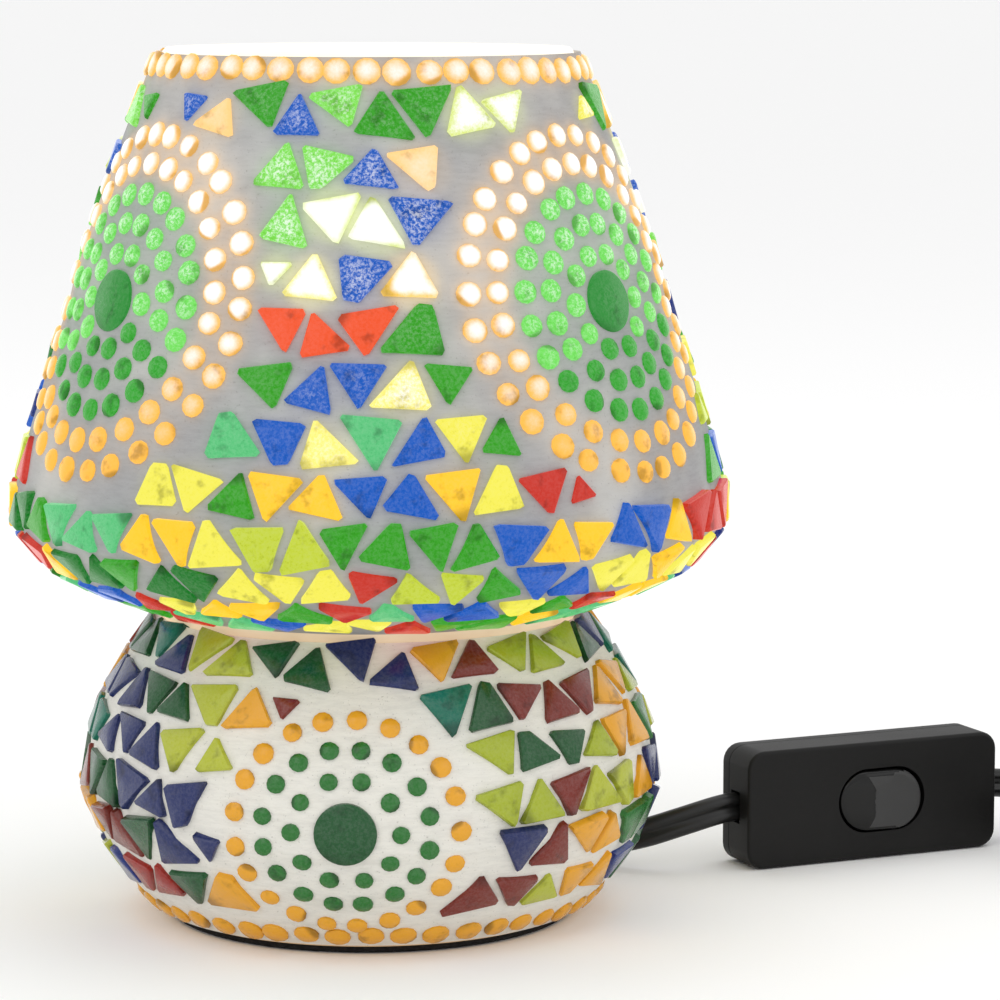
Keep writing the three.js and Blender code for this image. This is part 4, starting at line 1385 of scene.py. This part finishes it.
@dataclass
class Holder:
    """The lamp holder's shells, and the felt under the foot."""

    facets: int = 60

    def shell(
        self, name: str, node: str, wall: float, roof: bool, finish: bpy.types.Material, slot: str,
    ) -> None:
        """Spins one tubular shell from its node's box.

        Args:
            name: the piece's name.
            node: the CAD node it stands for.
            wall: its wall's thickness.
            roof: closes its lower end.
            finish: its material.
            slot: not used.
        """
        low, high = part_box(node)
        r, soft = high.x, 0.7 * MM
        line = [(r - wall, high.z - 0.3 * MM), (r - wall + 0.3 * MM, high.z), (r - soft, high.z)]
        line += [(r - 0.2 * MM, high.z - 0.3 * MM), (r, high.z - soft), (r, low.z + soft)]
        line += [(r - 0.2 * MM, low.z + 0.2 * MM), (r - soft, low.z)]
        if roof:
            line += [(5.4 * MM, low.z), (5.4 * MM, low.z + 2.2 * MM), (r - wall, low.z + 2.2 * MM)]
        else:
            line += [(r - wall, low.z)]
        piece = turned(name, line, self.facets, 30)
        ride(piece, finish)
        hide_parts(node)

    def build(self, plastic: bpy.types.Material, ceramic: bpy.types.Material) -> None:
        """Builds the cap, the skirt and the liner."""
        self.shell("holder_cap_shell", "holder_cap", 1.8 * MM, True, plastic, "holder_plastic")
        self.shell("holder_skirt_shell", "holder_skirt", 1.8 * MM, False, plastic, "holder_plastic")
        self.shell("holder_liner_sleeve", "holder_liner", 3.85 * MM, False, ceramic, "ceramic")

    def felt(self, finish: bpy.types.Material) -> None:
        """Spins the felt pad with a softened edge."""
        low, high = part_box("foot_pad")
        r, t = high.x, high.z - low.z
        line = [(0.0, low.z), (r - 0.4 * MM, low.z), (r, low.z + t / 3), (r, high.z - t / 3)]
        line += [(r - 0.4 * MM, high.z), (0.0, high.z)]
        ride(turned("felt_pad", line, 96, 60), finish)
        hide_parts("foot_pad")


# ---------------------------------------------------------------- the inline switch

@dataclass
class InlineSwitch:
    """The hand switch on the cord, modelled square at the origin and then laid on its line."""

    centre: tuple[float, float] = (109.7 * MM, 46.6 * MM)
    yaw: float = 22.3
    length: float = 63 * MM
    height: float = 26.4 * MM
    depth: float = 13 * MM
    cover: float = 3.5 * MM
    corner: float = 4.0 * MM
    hole: tuple[float, float] = (21.8 * MM, 14.4 * MM)
    rocker_at: float = 2 * MM
    proud: float = 1.6 * MM
    wall: float = 1.7 * MM
    travel: float = 16.0
    pivot: float = 4.0 * MM
    cord: tuple[float, float] = (3.9 * MM, 7.1 * MM)
    screw: tuple[float, float] = (23 * MM, 7.6 * MM)

    def on_axis(self, along: float, z: float) -> tuple[float, float, float]:
        """A point on the switch's long axis, from its middle towards the plug."""
        turn = math.radians(self.yaw)
        return self.centre[0] + along * math.cos(turn), self.centre[1] + along * math.sin(turn), z

    def place(self, piece: bpy.types.Object) -> bpy.types.Object:
        """Stands a piece modelled at the origin on the switch's line."""
        turn = Matrix.Rotation(math.radians(self.yaw), 4, "Z")
        middle = Matrix.Translation((self.centre[0], self.centre[1], self.height / 2))
        piece.matrix_world = middle @ turn
        return settle(piece, piece.name)

    def slab(self, name: str, front: float, back: float, edge: float) -> bpy.types.Object:
        """Models one half of the case: a box with rounded corners and a softened front or back.

        Args:
            name: the piece's name.
            front: its front, along Y.
            back: its back, along Y.
            edge: radius of its softened outer face's edge.

        Returns:
            The half, at the origin.
        """
        deselect()
        bpy.ops.mesh.primitive_cube_add(size=1, location=(0, (front + back) / 2, 0))
        piece = bpy.context.object
        piece.name = name
        piece.scale = (self.length, back - front, self.height)
        bpy.ops.object.transform_apply(location=True, rotation=True, scale=True)
        outer = front if abs(front) > abs(back) else back
        for reach, along_y in ((self.corner, True), (edge, False)):
            bpy.ops.object.mode_set(mode="EDIT")
            bpy.ops.mesh.select_mode(type="EDGE")
            bpy.ops.mesh.select_all(action="DESELECT")
            bpy.ops.object.mode_set(mode="OBJECT")
            for line in piece.data.edges:
                a, b = (piece.data.vertices[i].co for i in line.vertices)
                runs_deep = abs(a.y - b.y) > 0.5 * (back - front) and (a - b).length > 0.9 * (back - front)
                on_face = abs(a.y - outer) < 1e-6 and abs(b.y - outer) < 1e-6
                line.select = runs_deep if along_y else on_face
            bpy.ops.object.mode_set(mode="EDIT")
            bpy.ops.mesh.bevel(offset=reach, segments=6 if along_y else 3)
            bpy.ops.object.mode_set(mode="OBJECT")
        return piece

    def cut_with(self, piece: bpy.types.Object, cutter: bpy.types.Object) -> None:
        """Cuts one piece with another and removes the cutter."""
        modify(piece, "BOOLEAN", object=cutter, operation="DIFFERENCE", solver="EXACT")
        bpy.data.objects.remove(cutter)

    def stadium(self, width: float, height: float, front: float, back: float) -> bpy.types.Object:
        """A bar with round ends, through the face.

        Args:
            width: its whole width.
            height: its height.
            front: its front, along Y.
            back: its back, along Y.

        Returns:
            The bar.
        """
        rows = [(self.rocker_at + x, z) for x, z in stadium_line(width / 2, height / 2, 48)]
        points = [Vector((x, y, z)) for y in (front, back) for x, z in rows]
        bar = mesh_piece("bar", points, tube_faces(2, 48) + end_faces(2, 48))
        heal(bar)
        return bar

    def block(self, size: Sequence[float], place: Sequence[float]) -> bpy.types.Object:
        """A plain block used as a cutter."""
        deselect()
        bpy.ops.mesh.primitive_cube_add(size=1, location=place)
        cutter = bpy.context.object
        cutter.scale = size
        bpy.ops.object.transform_apply(location=True, rotation=True, scale=True)
        return cutter

    def case(self, plastic: bpy.types.Material) -> None:
        """Builds the front shell and the back cover."""
        face, back = -self.depth / 2, self.depth / 2
        seam = back - self.cover
        shell = self.slab("switch_case_front", face, seam, 0.8 * MM)
        self.cut_with(shell, self.stadium(self.hole[0], self.hole[1], face - 2 * MM, face + 6.5 * MM))
        inside = self.block(
            (self.length - 2 * self.wall, self.depth - self.cover - self.wall, self.height - 2 * self.wall),
            (0, (face + self.wall + seam + 0.6 * MM) / 2, 0),
        )
        self.cut_with(shell, inside)
        cover = self.slab("switch_case_back", seam + 0.1 * MM, back, 0.8 * MM)
        for side in (-1, 1):
            for piece in (shell, cover):
                notch = self.block((7 * MM, self.cord[0], self.cord[1]), (side * self.length / 2, 0, 0))
                self.cut_with(piece, notch)
        for side in (-1, 1):
            deselect()
            bpy.ops.mesh.primitive_cylinder_add(
                vertices=32, radius=2.8 * MM, depth=3.2 * MM, rotation=(math.pi / 2, 0, 0),
                location=(side * self.screw[0], back, -side * self.screw[1]),
            )
            self.cut_with(cover, bpy.context.object)
        for piece, node in ((shell, "switch_front_shell"), (cover, "switch_back_cover")):
            crisp = math.radians(50)
            modify(piece, "BEVEL", width=0.09 * MM, segments=2, limit_method="ANGLE", angle_limit=crisp)
            self.place(piece)
            smooth(piece, 50)
            modify(piece, "WEIGHTED_NORMAL", keep_sharp=True)
            ride(piece, plastic)
            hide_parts(node)

    def rocker(self, matt: bpy.types.Material, polished: bpy.types.Material) -> None:
        """Builds the rocker in its on position, its facet towards the plug level and proud.

        Args:
            matt: the level facet's finish: matt, its colour painted lighter as if it caught the light.
            polished: the finish of the sides that slope away: polished, their colour painted darker as shade.
        """
        half_wide = self.hole[0] / 2 - 0.6 * MM
        half_high = self.hole[1] / 2 - 0.35 * MM
        top = -self.depth / 2 - self.proud
        rings, corners = 22, 72
        points = []
        facet = (-2.2 * MM, half_wide - 0.7 * MM, half_high - 0.8 * MM)

        def beyond_facet(x: float, z: float) -> float:
            """How far a place lies outside the level facet, zero inside it."""
            middle, reach = (facet[0] + facet[1]) / 2, (facet[1] - facet[0]) / 2
            soft = 3.6 * MM if x < middle else 5.4 * MM
            qx, qz = abs(x - middle) - (reach - soft), abs(z) - (facet[2] - soft)
            return max(0.0, math.hypot(max(qx, 0), max(qz, 0)) + min(max(qx, qz), 0) - soft)

        outline = stadium_line(half_wide, half_high, corners)
        for ring in range(rings + 1):
            share = ring / rings
            for x, z in outline:
                px, pz = x * share, z * share
                fall = 0.0
                if share > 0.86:
                    fall = 0.9 * MM * (1 - math.sqrt(max(0.0, 1 - ((share - 0.86) / 0.14) ** 2)))
                out = beyond_facet(px, pz)
                fall += 0.30 * out * out / (out + 0.5 * MM)
                points.append(Vector((self.rocker_at + px, top + fall, pz)))
        back = -self.depth / 2 + 5.4 * MM
        for x, z in outline:
            points.append(Vector((self.rocker_at + x * 0.97, back, z)))
        faces = tube_faces(rings + 2, corners) + end_faces(rings + 2, corners)[1:]
        lean = math.radians(self.travel / 2)
        for point in points:
            away = point.y + self.depth / 2 - self.pivot
            point.x = self.rocker_at + (point.x - self.rocker_at) * math.cos(lean) + away * math.tan(lean)
        piece = mesh_piece("switch_rocker_cap", points, faces)
        heal(piece, DOUBLES)
        middles = [f.center.copy() for f in piece.data.polygons]
        sloping = [beyond_facet(c.x - self.rocker_at, c.z) > 0.25 * MM for c in middles]
        self.place(piece)
        smooth(piece, 50)
        ride(piece, matt, "rocker")
        # The sloping faces take the finish painted darker, the level facet the one painted lighter.
        piece.data.materials.append(polished)
        for polygon, slopes in zip(piece.data.polygons, sloping):
            polygon.material_index = 1 if slopes else 0
        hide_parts("switch_rocker")


# ---------------------------------------------------------------- cord and plug

@dataclass
class TwinCord:
    """Flat twin cord: two round cores side by side in one jacket, standing on its edge."""

    wide: float = 6.5 * MM
    thick: float = 3.3 * MM
    rest: float = 3.35 * MM

    def section(self, count: int = 36) -> list[tuple[float, float]]:
        """The jacket's outline: across its width, then across its thickness."""
        core = self.thick / 2
        reach = self.wide / 2 - core
        rows = []
        for k in range(count):
            angle = 2 * math.pi * (k + 0.5) / count
            u = self.wide / 2 * math.cos(angle)
            side = abs(abs(u) - reach)
            v = math.sqrt(max(0.0, core * core - side * side)) if abs(u) > reach - core else core
            waist = core * (1 - 0.62 * math.exp(-(u / (0.6 * MM)) ** 2))
            v = min(v, waist)
            rows.append((u, math.copysign(v, math.sin(angle))))
        return rows

    def sweep(self, name: str, path: np.ndarray, twist: Callable[[float], float]) -> bpy.types.Object:
        """Runs the section along a path.

        Args:
            name: the piece's name.
            path: its centre line, one row a point.
            twist: the turn in radians away from standing on edge, by the share of the way.

        Returns:
            The cord.
        """
        shape = self.section()
        count = len(shape)
        points = []
        last = len(path) - 1
        for i, centre in enumerate(path):
            ahead = Vector(path[min(i + 1, last)] - path[max(i - 1, 0)]).normalized()
            up = Vector((0, 0, 1))
            up = (up - ahead * up.dot(ahead)).normalized()
            side = ahead.cross(up)
            turn = twist(i / last)
            wide = up * math.cos(turn) + side * math.sin(turn)
            thin = ahead.cross(wide)
            for u, v in shape:
                points.append(Vector(centre) + wide * u + thin * v)
        faces = tube_faces(last + 1, count) + end_faces(last + 1, count)
        made = mesh_piece(name, points, faces)
        heal(made)
        smooth(made, 55)
        return made

    def lead_path(self, switch: InlineSwitch) -> np.ndarray:
        """The short run from the back of the base, round its side to the switch."""
        low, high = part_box("cord_grommet")
        mid = (low.z + high.z) / 2
        route = [(0, high.y + 0.4 * MM, mid)]
        for x, y, h in ((-0.5, 68, 13.4), (-2.6, 76, 11.2), (-5.4, 83, 8.2)):
            route.append((x * MM, y * MM, h * MM))
        falling = ((180, 6.4), (160, 4.8), (140, 3.8))
        for degrees, h in falling + tuple((a, 3.35) for a in (120, 90, 60, 30, 0)):
            turn = math.radians(degrees)
            route.append(((17.6 + 24.4 * math.cos(turn)) * MM, (88 + 24.4 * math.sin(turn)) * MM, h * MM))
        route.append((42 * MM, 71 * MM, self.rest))
        for degrees, h in ((180, 3.35), (205, 3.8), (230, 5.2), (255, 7.9), (275, 10.6)):
            turn = math.radians(degrees)
            route.append(((66.2 + 24.2 * math.cos(turn)) * MM, (55.5 + 24.2 * math.sin(turn)) * MM, h * MM))
        for along, h in ((-36.5, 12.7), (-32.8, 13.2), (-29.0, 13.2)):
            route.append(switch.on_axis(along * MM, h * MM))
        return even(spline(route, 14), 1.5 * MM)

    def tail_path(self, switch: InlineSwitch) -> np.ndarray:
        """The run from the switch into the wound coil and on to the plug."""
        middle, low, high = (191 * MM, 37.4 * MM), 4.45 * MM, 11.05 * MM
        leaving = ((29, 13.2), (32.8, 13.2), (38.8, 12.4), (45.8, 9.6))
        route = [switch.on_axis(a * MM, h * MM) for a, h in leaving]
        route += [switch.on_axis(52.3 * MM, 6.6 * MM), switch.on_axis(60.0 * MM, 4.9 * MM)]
        start = 112.3
        turns_down, climb, outer, inner, step = 3.15, 0.3, 39.5 * MM, 29.0 * MM, 3.5 * MM
        total = turns_down + climb
        up_turns = 6.31 - total - 0.012
        samples = 40
        for k in range(int(total * samples) + 1):
            turn = k / samples
            radius = max(inner, outer - step * turn)
            rise = min(1.0, max(0.0, (turn - turns_down) / climb))
            z = low + (high - low) * (3 * rise ** 2 - 2 * rise ** 3)
            angle = math.radians(start - 360 * turn)
            route.append((middle[0] + radius * math.cos(angle), middle[1] + radius * math.sin(angle), z))
        begun = int(total * samples) / samples
        final = 39.45 * MM
        for k in range(1, int(up_turns * samples) + 1):
            turn = begun + k / samples
            share = k / (up_turns * samples)
            reach = radius + (final - radius) * share
            angle = math.radians(start - 360 * turn)
            route.append((middle[0] + reach * math.cos(angle), middle[1] + reach * math.sin(angle), high))
        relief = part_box("plug_strain_relief")
        x = (relief[0].x + relief[1].x) / 2
        z_end = (relief[0].z + relief[1].z) / 2
        for y, h in ((31, 11.0), (24, 10.4), (16, 9.4), (8, 8.1), (1, 7.2)):
            route.append((x, y * MM, h * MM))
        route.append((x, relief[1].y - 3 * MM, z_end))
        return even(spline(route, 6), 1.8 * MM)

    def build(self, switch: InlineSwitch, jacket: bpy.types.Material) -> None:
        """Lays both runs of the cord and logs their lengths."""
        lead = self.lead_path(switch)
        piece = ride(self.sweep("cord_run_to_switch", lead, lambda t: 0.0), jacket)
        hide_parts("cord_lead")
        log.info("cord to the switch: %.3f m", length_of(lead))
        tail = self.tail_path(switch)
        whole = length_of(tail)

        def twist(share: float) -> float:
            """Turns the cord flat over its last stretch."""
            left = (1 - share) * whole
            return math.pi / 2 * min(1.0, max(0.0, 1 - (left - 6 * MM) / (26 * MM)))

        piece = ride(self.sweep("cord_run_to_plug", tail, twist), jacket)
        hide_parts("cord_tail", "cord_coil", "cord_end")
        on_cord = [bpy.data.objects[n] for n in ("plug_relief", "plug_case")]
        on_cord += ["plug_pin_1", "plug_pin_2", "coil_tie"]
        log.info("cord to the plug: %.3f m", whole)


@dataclass
class Plug:
    """The flat two-pin plug with its ribbed strain relief."""

    ribs: int = 6

    def case(self, plastic: bpy.types.Material) -> None:
        """Models the moulded case: a waisted block with finger grips."""
        low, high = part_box("plug_body")
        middle, size = (low + high) / 2, high - low
        deselect()
        bpy.ops.mesh.primitive_cube_add(size=1, location=middle)
        piece = bpy.context.object
        piece.scale = size
        bpy.ops.object.transform_apply(location=True, rotation=True, scale=True)
        bpy.ops.object.mode_set(mode="EDIT")
        bpy.ops.mesh.select_all(action="SELECT")
        bpy.ops.mesh.subdivide(number_cuts=7)
        bpy.ops.object.mode_set(mode="OBJECT")
        for vertex in piece.data.vertices:
            share = (vertex.co.y - low.y) / size.y
            waist = 1 - 0.30 * max(0.0, (share - 0.30) / 0.70) ** 1.6
            thin = 1 - 0.22 * max(0.0, (share - 0.15) / 0.85) ** 2
            vertex.co.x = middle.x + (vertex.co.x - middle.x) * waist
            vertex.co.z = middle.z + (vertex.co.z - middle.z) * thin
        modify(piece, "BEVEL", width=2.6 * MM, segments=5, limit_method="ANGLE", angle_limit=math.radians(55))
        piece.name = "plug_case"
        smooth(piece, 40)
        ride(settle(piece, "plug_case"), plastic)
        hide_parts("plug_body")

    def relief(self, rubber: bpy.types.Material) -> None:
        """Models the tapering strain relief with its ribs."""
        low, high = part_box("plug_strain_relief")
        middle = (low + high) / 2
        steps, count = 6 * self.ribs + 1, 28
        points = []
        for i in range(steps):
            share = i / (steps - 1)
            y = low.y - 1.5 * MM + (high.y - low.y + 1.5 * MM) * share
            rib = 0.5 + 0.5 * math.cos(2 * math.pi * share * self.ribs)
            wide = (high.x - low.x) / 2 * (1 - 0.2 * share) - 0.5 * MM * (1 - rib)
            thin = (high.z - low.z) / 2 * (1 - 0.3 * share) - 0.4 * MM * (1 - rib)
            for k in range(count):
                angle = 2 * math.pi * k / count
                x = math.copysign(abs(math.cos(angle)) ** 0.7, math.cos(angle))
                z = math.copysign(abs(math.sin(angle)) ** 0.7, math.sin(angle))
                points.append(Vector((middle.x + wide * x, y, middle.z + thin * z)))
        piece = mesh_piece("plug_relief", points, tube_faces(steps, count) + end_faces(steps, count))
        heal(piece)
        smooth(piece, 60)
        ride(piece, rubber)
        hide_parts("plug_strain_relief")


# ---------------------------------------------------------------- the whole scene

def studio() -> None:
    """Sets the camera, the pale floor and the soft lights."""
    scene = bpy.context.scene
    scene.view_settings.view_transform = "Standard"
    camera = bpy.data.objects.new("camera", bpy.data.cameras.new("camera"))
    scene.collection.objects.link(camera)
    camera.data.lens = 146.83
    camera.data.sensor_width = 36
    camera.location = (0, -0.84965, 0.2018)
    pitch, yaw = math.radians(7.712), math.radians(1.84)
    ahead = Vector((math.sin(yaw) * math.cos(pitch), math.cos(yaw) * math.cos(pitch), -math.sin(pitch)))
    camera.rotation_euler = ahead.to_track_quat("-Z", "Y").to_euler()
    scene.camera = camera
    world = bpy.data.worlds.new("pale_room")
    scene.world = world
    world.use_nodes = True
    background = world.node_tree.nodes["Background"].inputs
    background["Color"].default_value = WHITE
    background["Strength"].default_value = 0.95
    deselect()
    bpy.ops.mesh.primitive_plane_add(size=60, location=(0, 0, -0.0002))
    floor = bpy.context.object
    floor.name = "floor"
    paint = Shader("floor_paper", Roughness=0.9, Specular_IOR_Level=0.1)
    paint.principled.inputs["Base Color"].default_value = (0.97, 0.97, 0.97, 1)
    dress(floor, paint.material)
    for name, place, size, power in (
        ("key", (-0.7, -0.9, 0.9), 1.0, 2.6), ("fill", (0.9, -0.7, 0.6), 0.9, 1.2),
        ("top", (0.1, 0.2, 1.3), 1.0, 2.0),
    ):
        data = bpy.data.lights.new(name, "AREA")
        data.size = size
        data.energy = power
        light = bpy.data.objects.new(name, data)
        light.location = place
        aim = Vector((0.03, 0.0, 0.08)) - Vector(place)
        light.rotation_euler = aim.to_track_quat("-Z", "Y").to_euler()
        scene.collection.objects.link(light)


def dress_inner_parts(plastics: dict[str, bpy.types.Material]) -> None:
    """Gives the frame's own parts that stay in view their finishes."""
    groups = {
        "steel": ["holder_plate", "spring_clip_1", "spring_clip_2", "spring_clip_3", "clip_rivet_1",
                  "clip_rivet_2", "clip_rivet_3", "switch_screw_1", "switch_screw_2", "rocker_pin"],
        "brass": ["threaded_nipple", "lock_nut", "centre_contact", "thread_shell", "terminal_screw_1",
                  "terminal_screw_2", "switch_terminal_1", "switch_terminal_2", "contact_strip",
                  "bulb_contact"],
        "nickel": ["plug_pin_1", "plug_pin_2"],
        "ceramic": ["terminal_block", "bulb_insulator"],
        "jacket": ["inner_cord"],
        "rubber": ["cord_grommet"],
        "strap": ["coil_tie"],
        "stem": ["bulb_stem"],
    }
    for finish, names in groups.items():
        for name in names:
            dress(frame["nodes"][name], plastics[finish])


def main() -> None:
    """Builds the sub-assemblies in order."""
    logging.basicConfig(level=logging.INFO, format="%(message)s")
    studio()
    switch = InlineSwitch()
    finishes = {
        "case": Moulded("switch_case_plastic", (0.055, 0.053, 0.051), 0.45, 0.5, gloss=0.25),
        # The rocker is one plastic: its facet matt and its sides polished, and besides that the facet's
        # colour is painted lighter and the sides' darker, as light and shade.
        "rocker": Moulded("rocker_facet", (0.20, 0.20, 0.20), 0.5, 0.3, 2400),
        "rocker_side_painted_darker": Moulded("rocker_polished_side", (0.02, 0.02, 0.02), 0.15, 0.05, 1800, 0.3, 0.2),
        "jacket": Moulded("cord_jacket", (0.06, 0.06, 0.06), 0.3, 0.2, 1500),
        "rubber": Moulded("soft_rubber", (0.10, 0.10, 0.10), 0.6, 0.4, 1700),
        "plug": Moulded("plug_plastic", (0.11, 0.11, 0.112), 0.42, 0.4),
        "holder": Moulded("holder_plastic", (0.10, 0.095, 0.09), 0.35, 0.3),
        "strap": Moulded("strap_fabric", (0.16, 0.16, 0.17), 0.8, 0.9, 1200),
        "steel": Metal("zinc_plated_steel", (0.66, 0.66, 0.65), 0.34),
        "brass": Metal("drawn_brass", (0.80, 0.65, 0.36), 0.28),
        "nickel": Metal("nickel_plate", (0.74, 0.73, 0.70), 0.2),
        "ceramic": Ceramic("steatite"),
        "felt": Felt("grey_felt"),
        "stem": LitGlass("bulb_stem_glass", (1.0, 0.95, 0.8), (1.0, 0.9, 0.7), 1.0, 0.05, (0.0, 0.0, 0.13)),
    }
    made = {name: finish.build() for name, finish in finishes.items()}
    switch.case(made["case"])
    switch.rocker(made["rocker"], made["rocker_side_painted_darker"])
    plug = Plug()
    plug.case(made["plug"])
    plug.relief(made["rubber"])
    TwinCord().build(switch, made["jacket"])
    shade = Mosaic(
        "shade", "mosaic_skin_shade", True, SHADE_ROWS,
        (Tint.DARK, Tint.GREEN, Tint.MINT, Tint.YELLOW, Tint.AMBER, Tint.BLUE, Tint.RED, Tint.OLIVE,
         Tint.NAVY),
        [Medallion(a, 132 * MM, 6.3 * MM, shade_rings()) for a in (-56, 50.5, 177)], 178.7 * MM, 48,
    )
    base = Mosaic(
        "base", "mosaic_skin_base", False, BASE_ROWS,
        (Tint.ROOM_NAVY, Tint.ROOM_DARK, Tint.ROOM_TEAL, Tint.ROOM_LIME, Tint.ROOM_AMBER, Tint.ROOM_MAROON,
         Tint.ROOM_OLIVE, Tint.ROOM_ROYAL, Tint.ROOM_RED),
        [Medallion(a, 28 * MM, 6.3 * MM, base_rings()) for a in (-5, 115, 235)], 4.2 * MM, 46, seed=SEED + 1,
    )
    # The shade's grout is the same cement as the base's; its darker grey is painted shade.
    shade.build(Grout("shade_grout", (0.62, 0.62, 0.625), 1.0), StainedGlass("lit_stained_glass", 1.0))
    room_glass = StainedGlass("room_stained_glass", 0.0, 0.1, 0.35)
    base.build(Grout("base_grout", (0.88, 0.87, 0.84), 0.5), room_glass)
    GlassJar().build(shade.outline, base.outline)
    Bulb().build()
    holder = Holder()
    holder.build(made["holder"], made["ceramic"])
    holder.felt(made["felt"])
    dress_inner_parts(made)


if __name__ == "__main__":
    main()
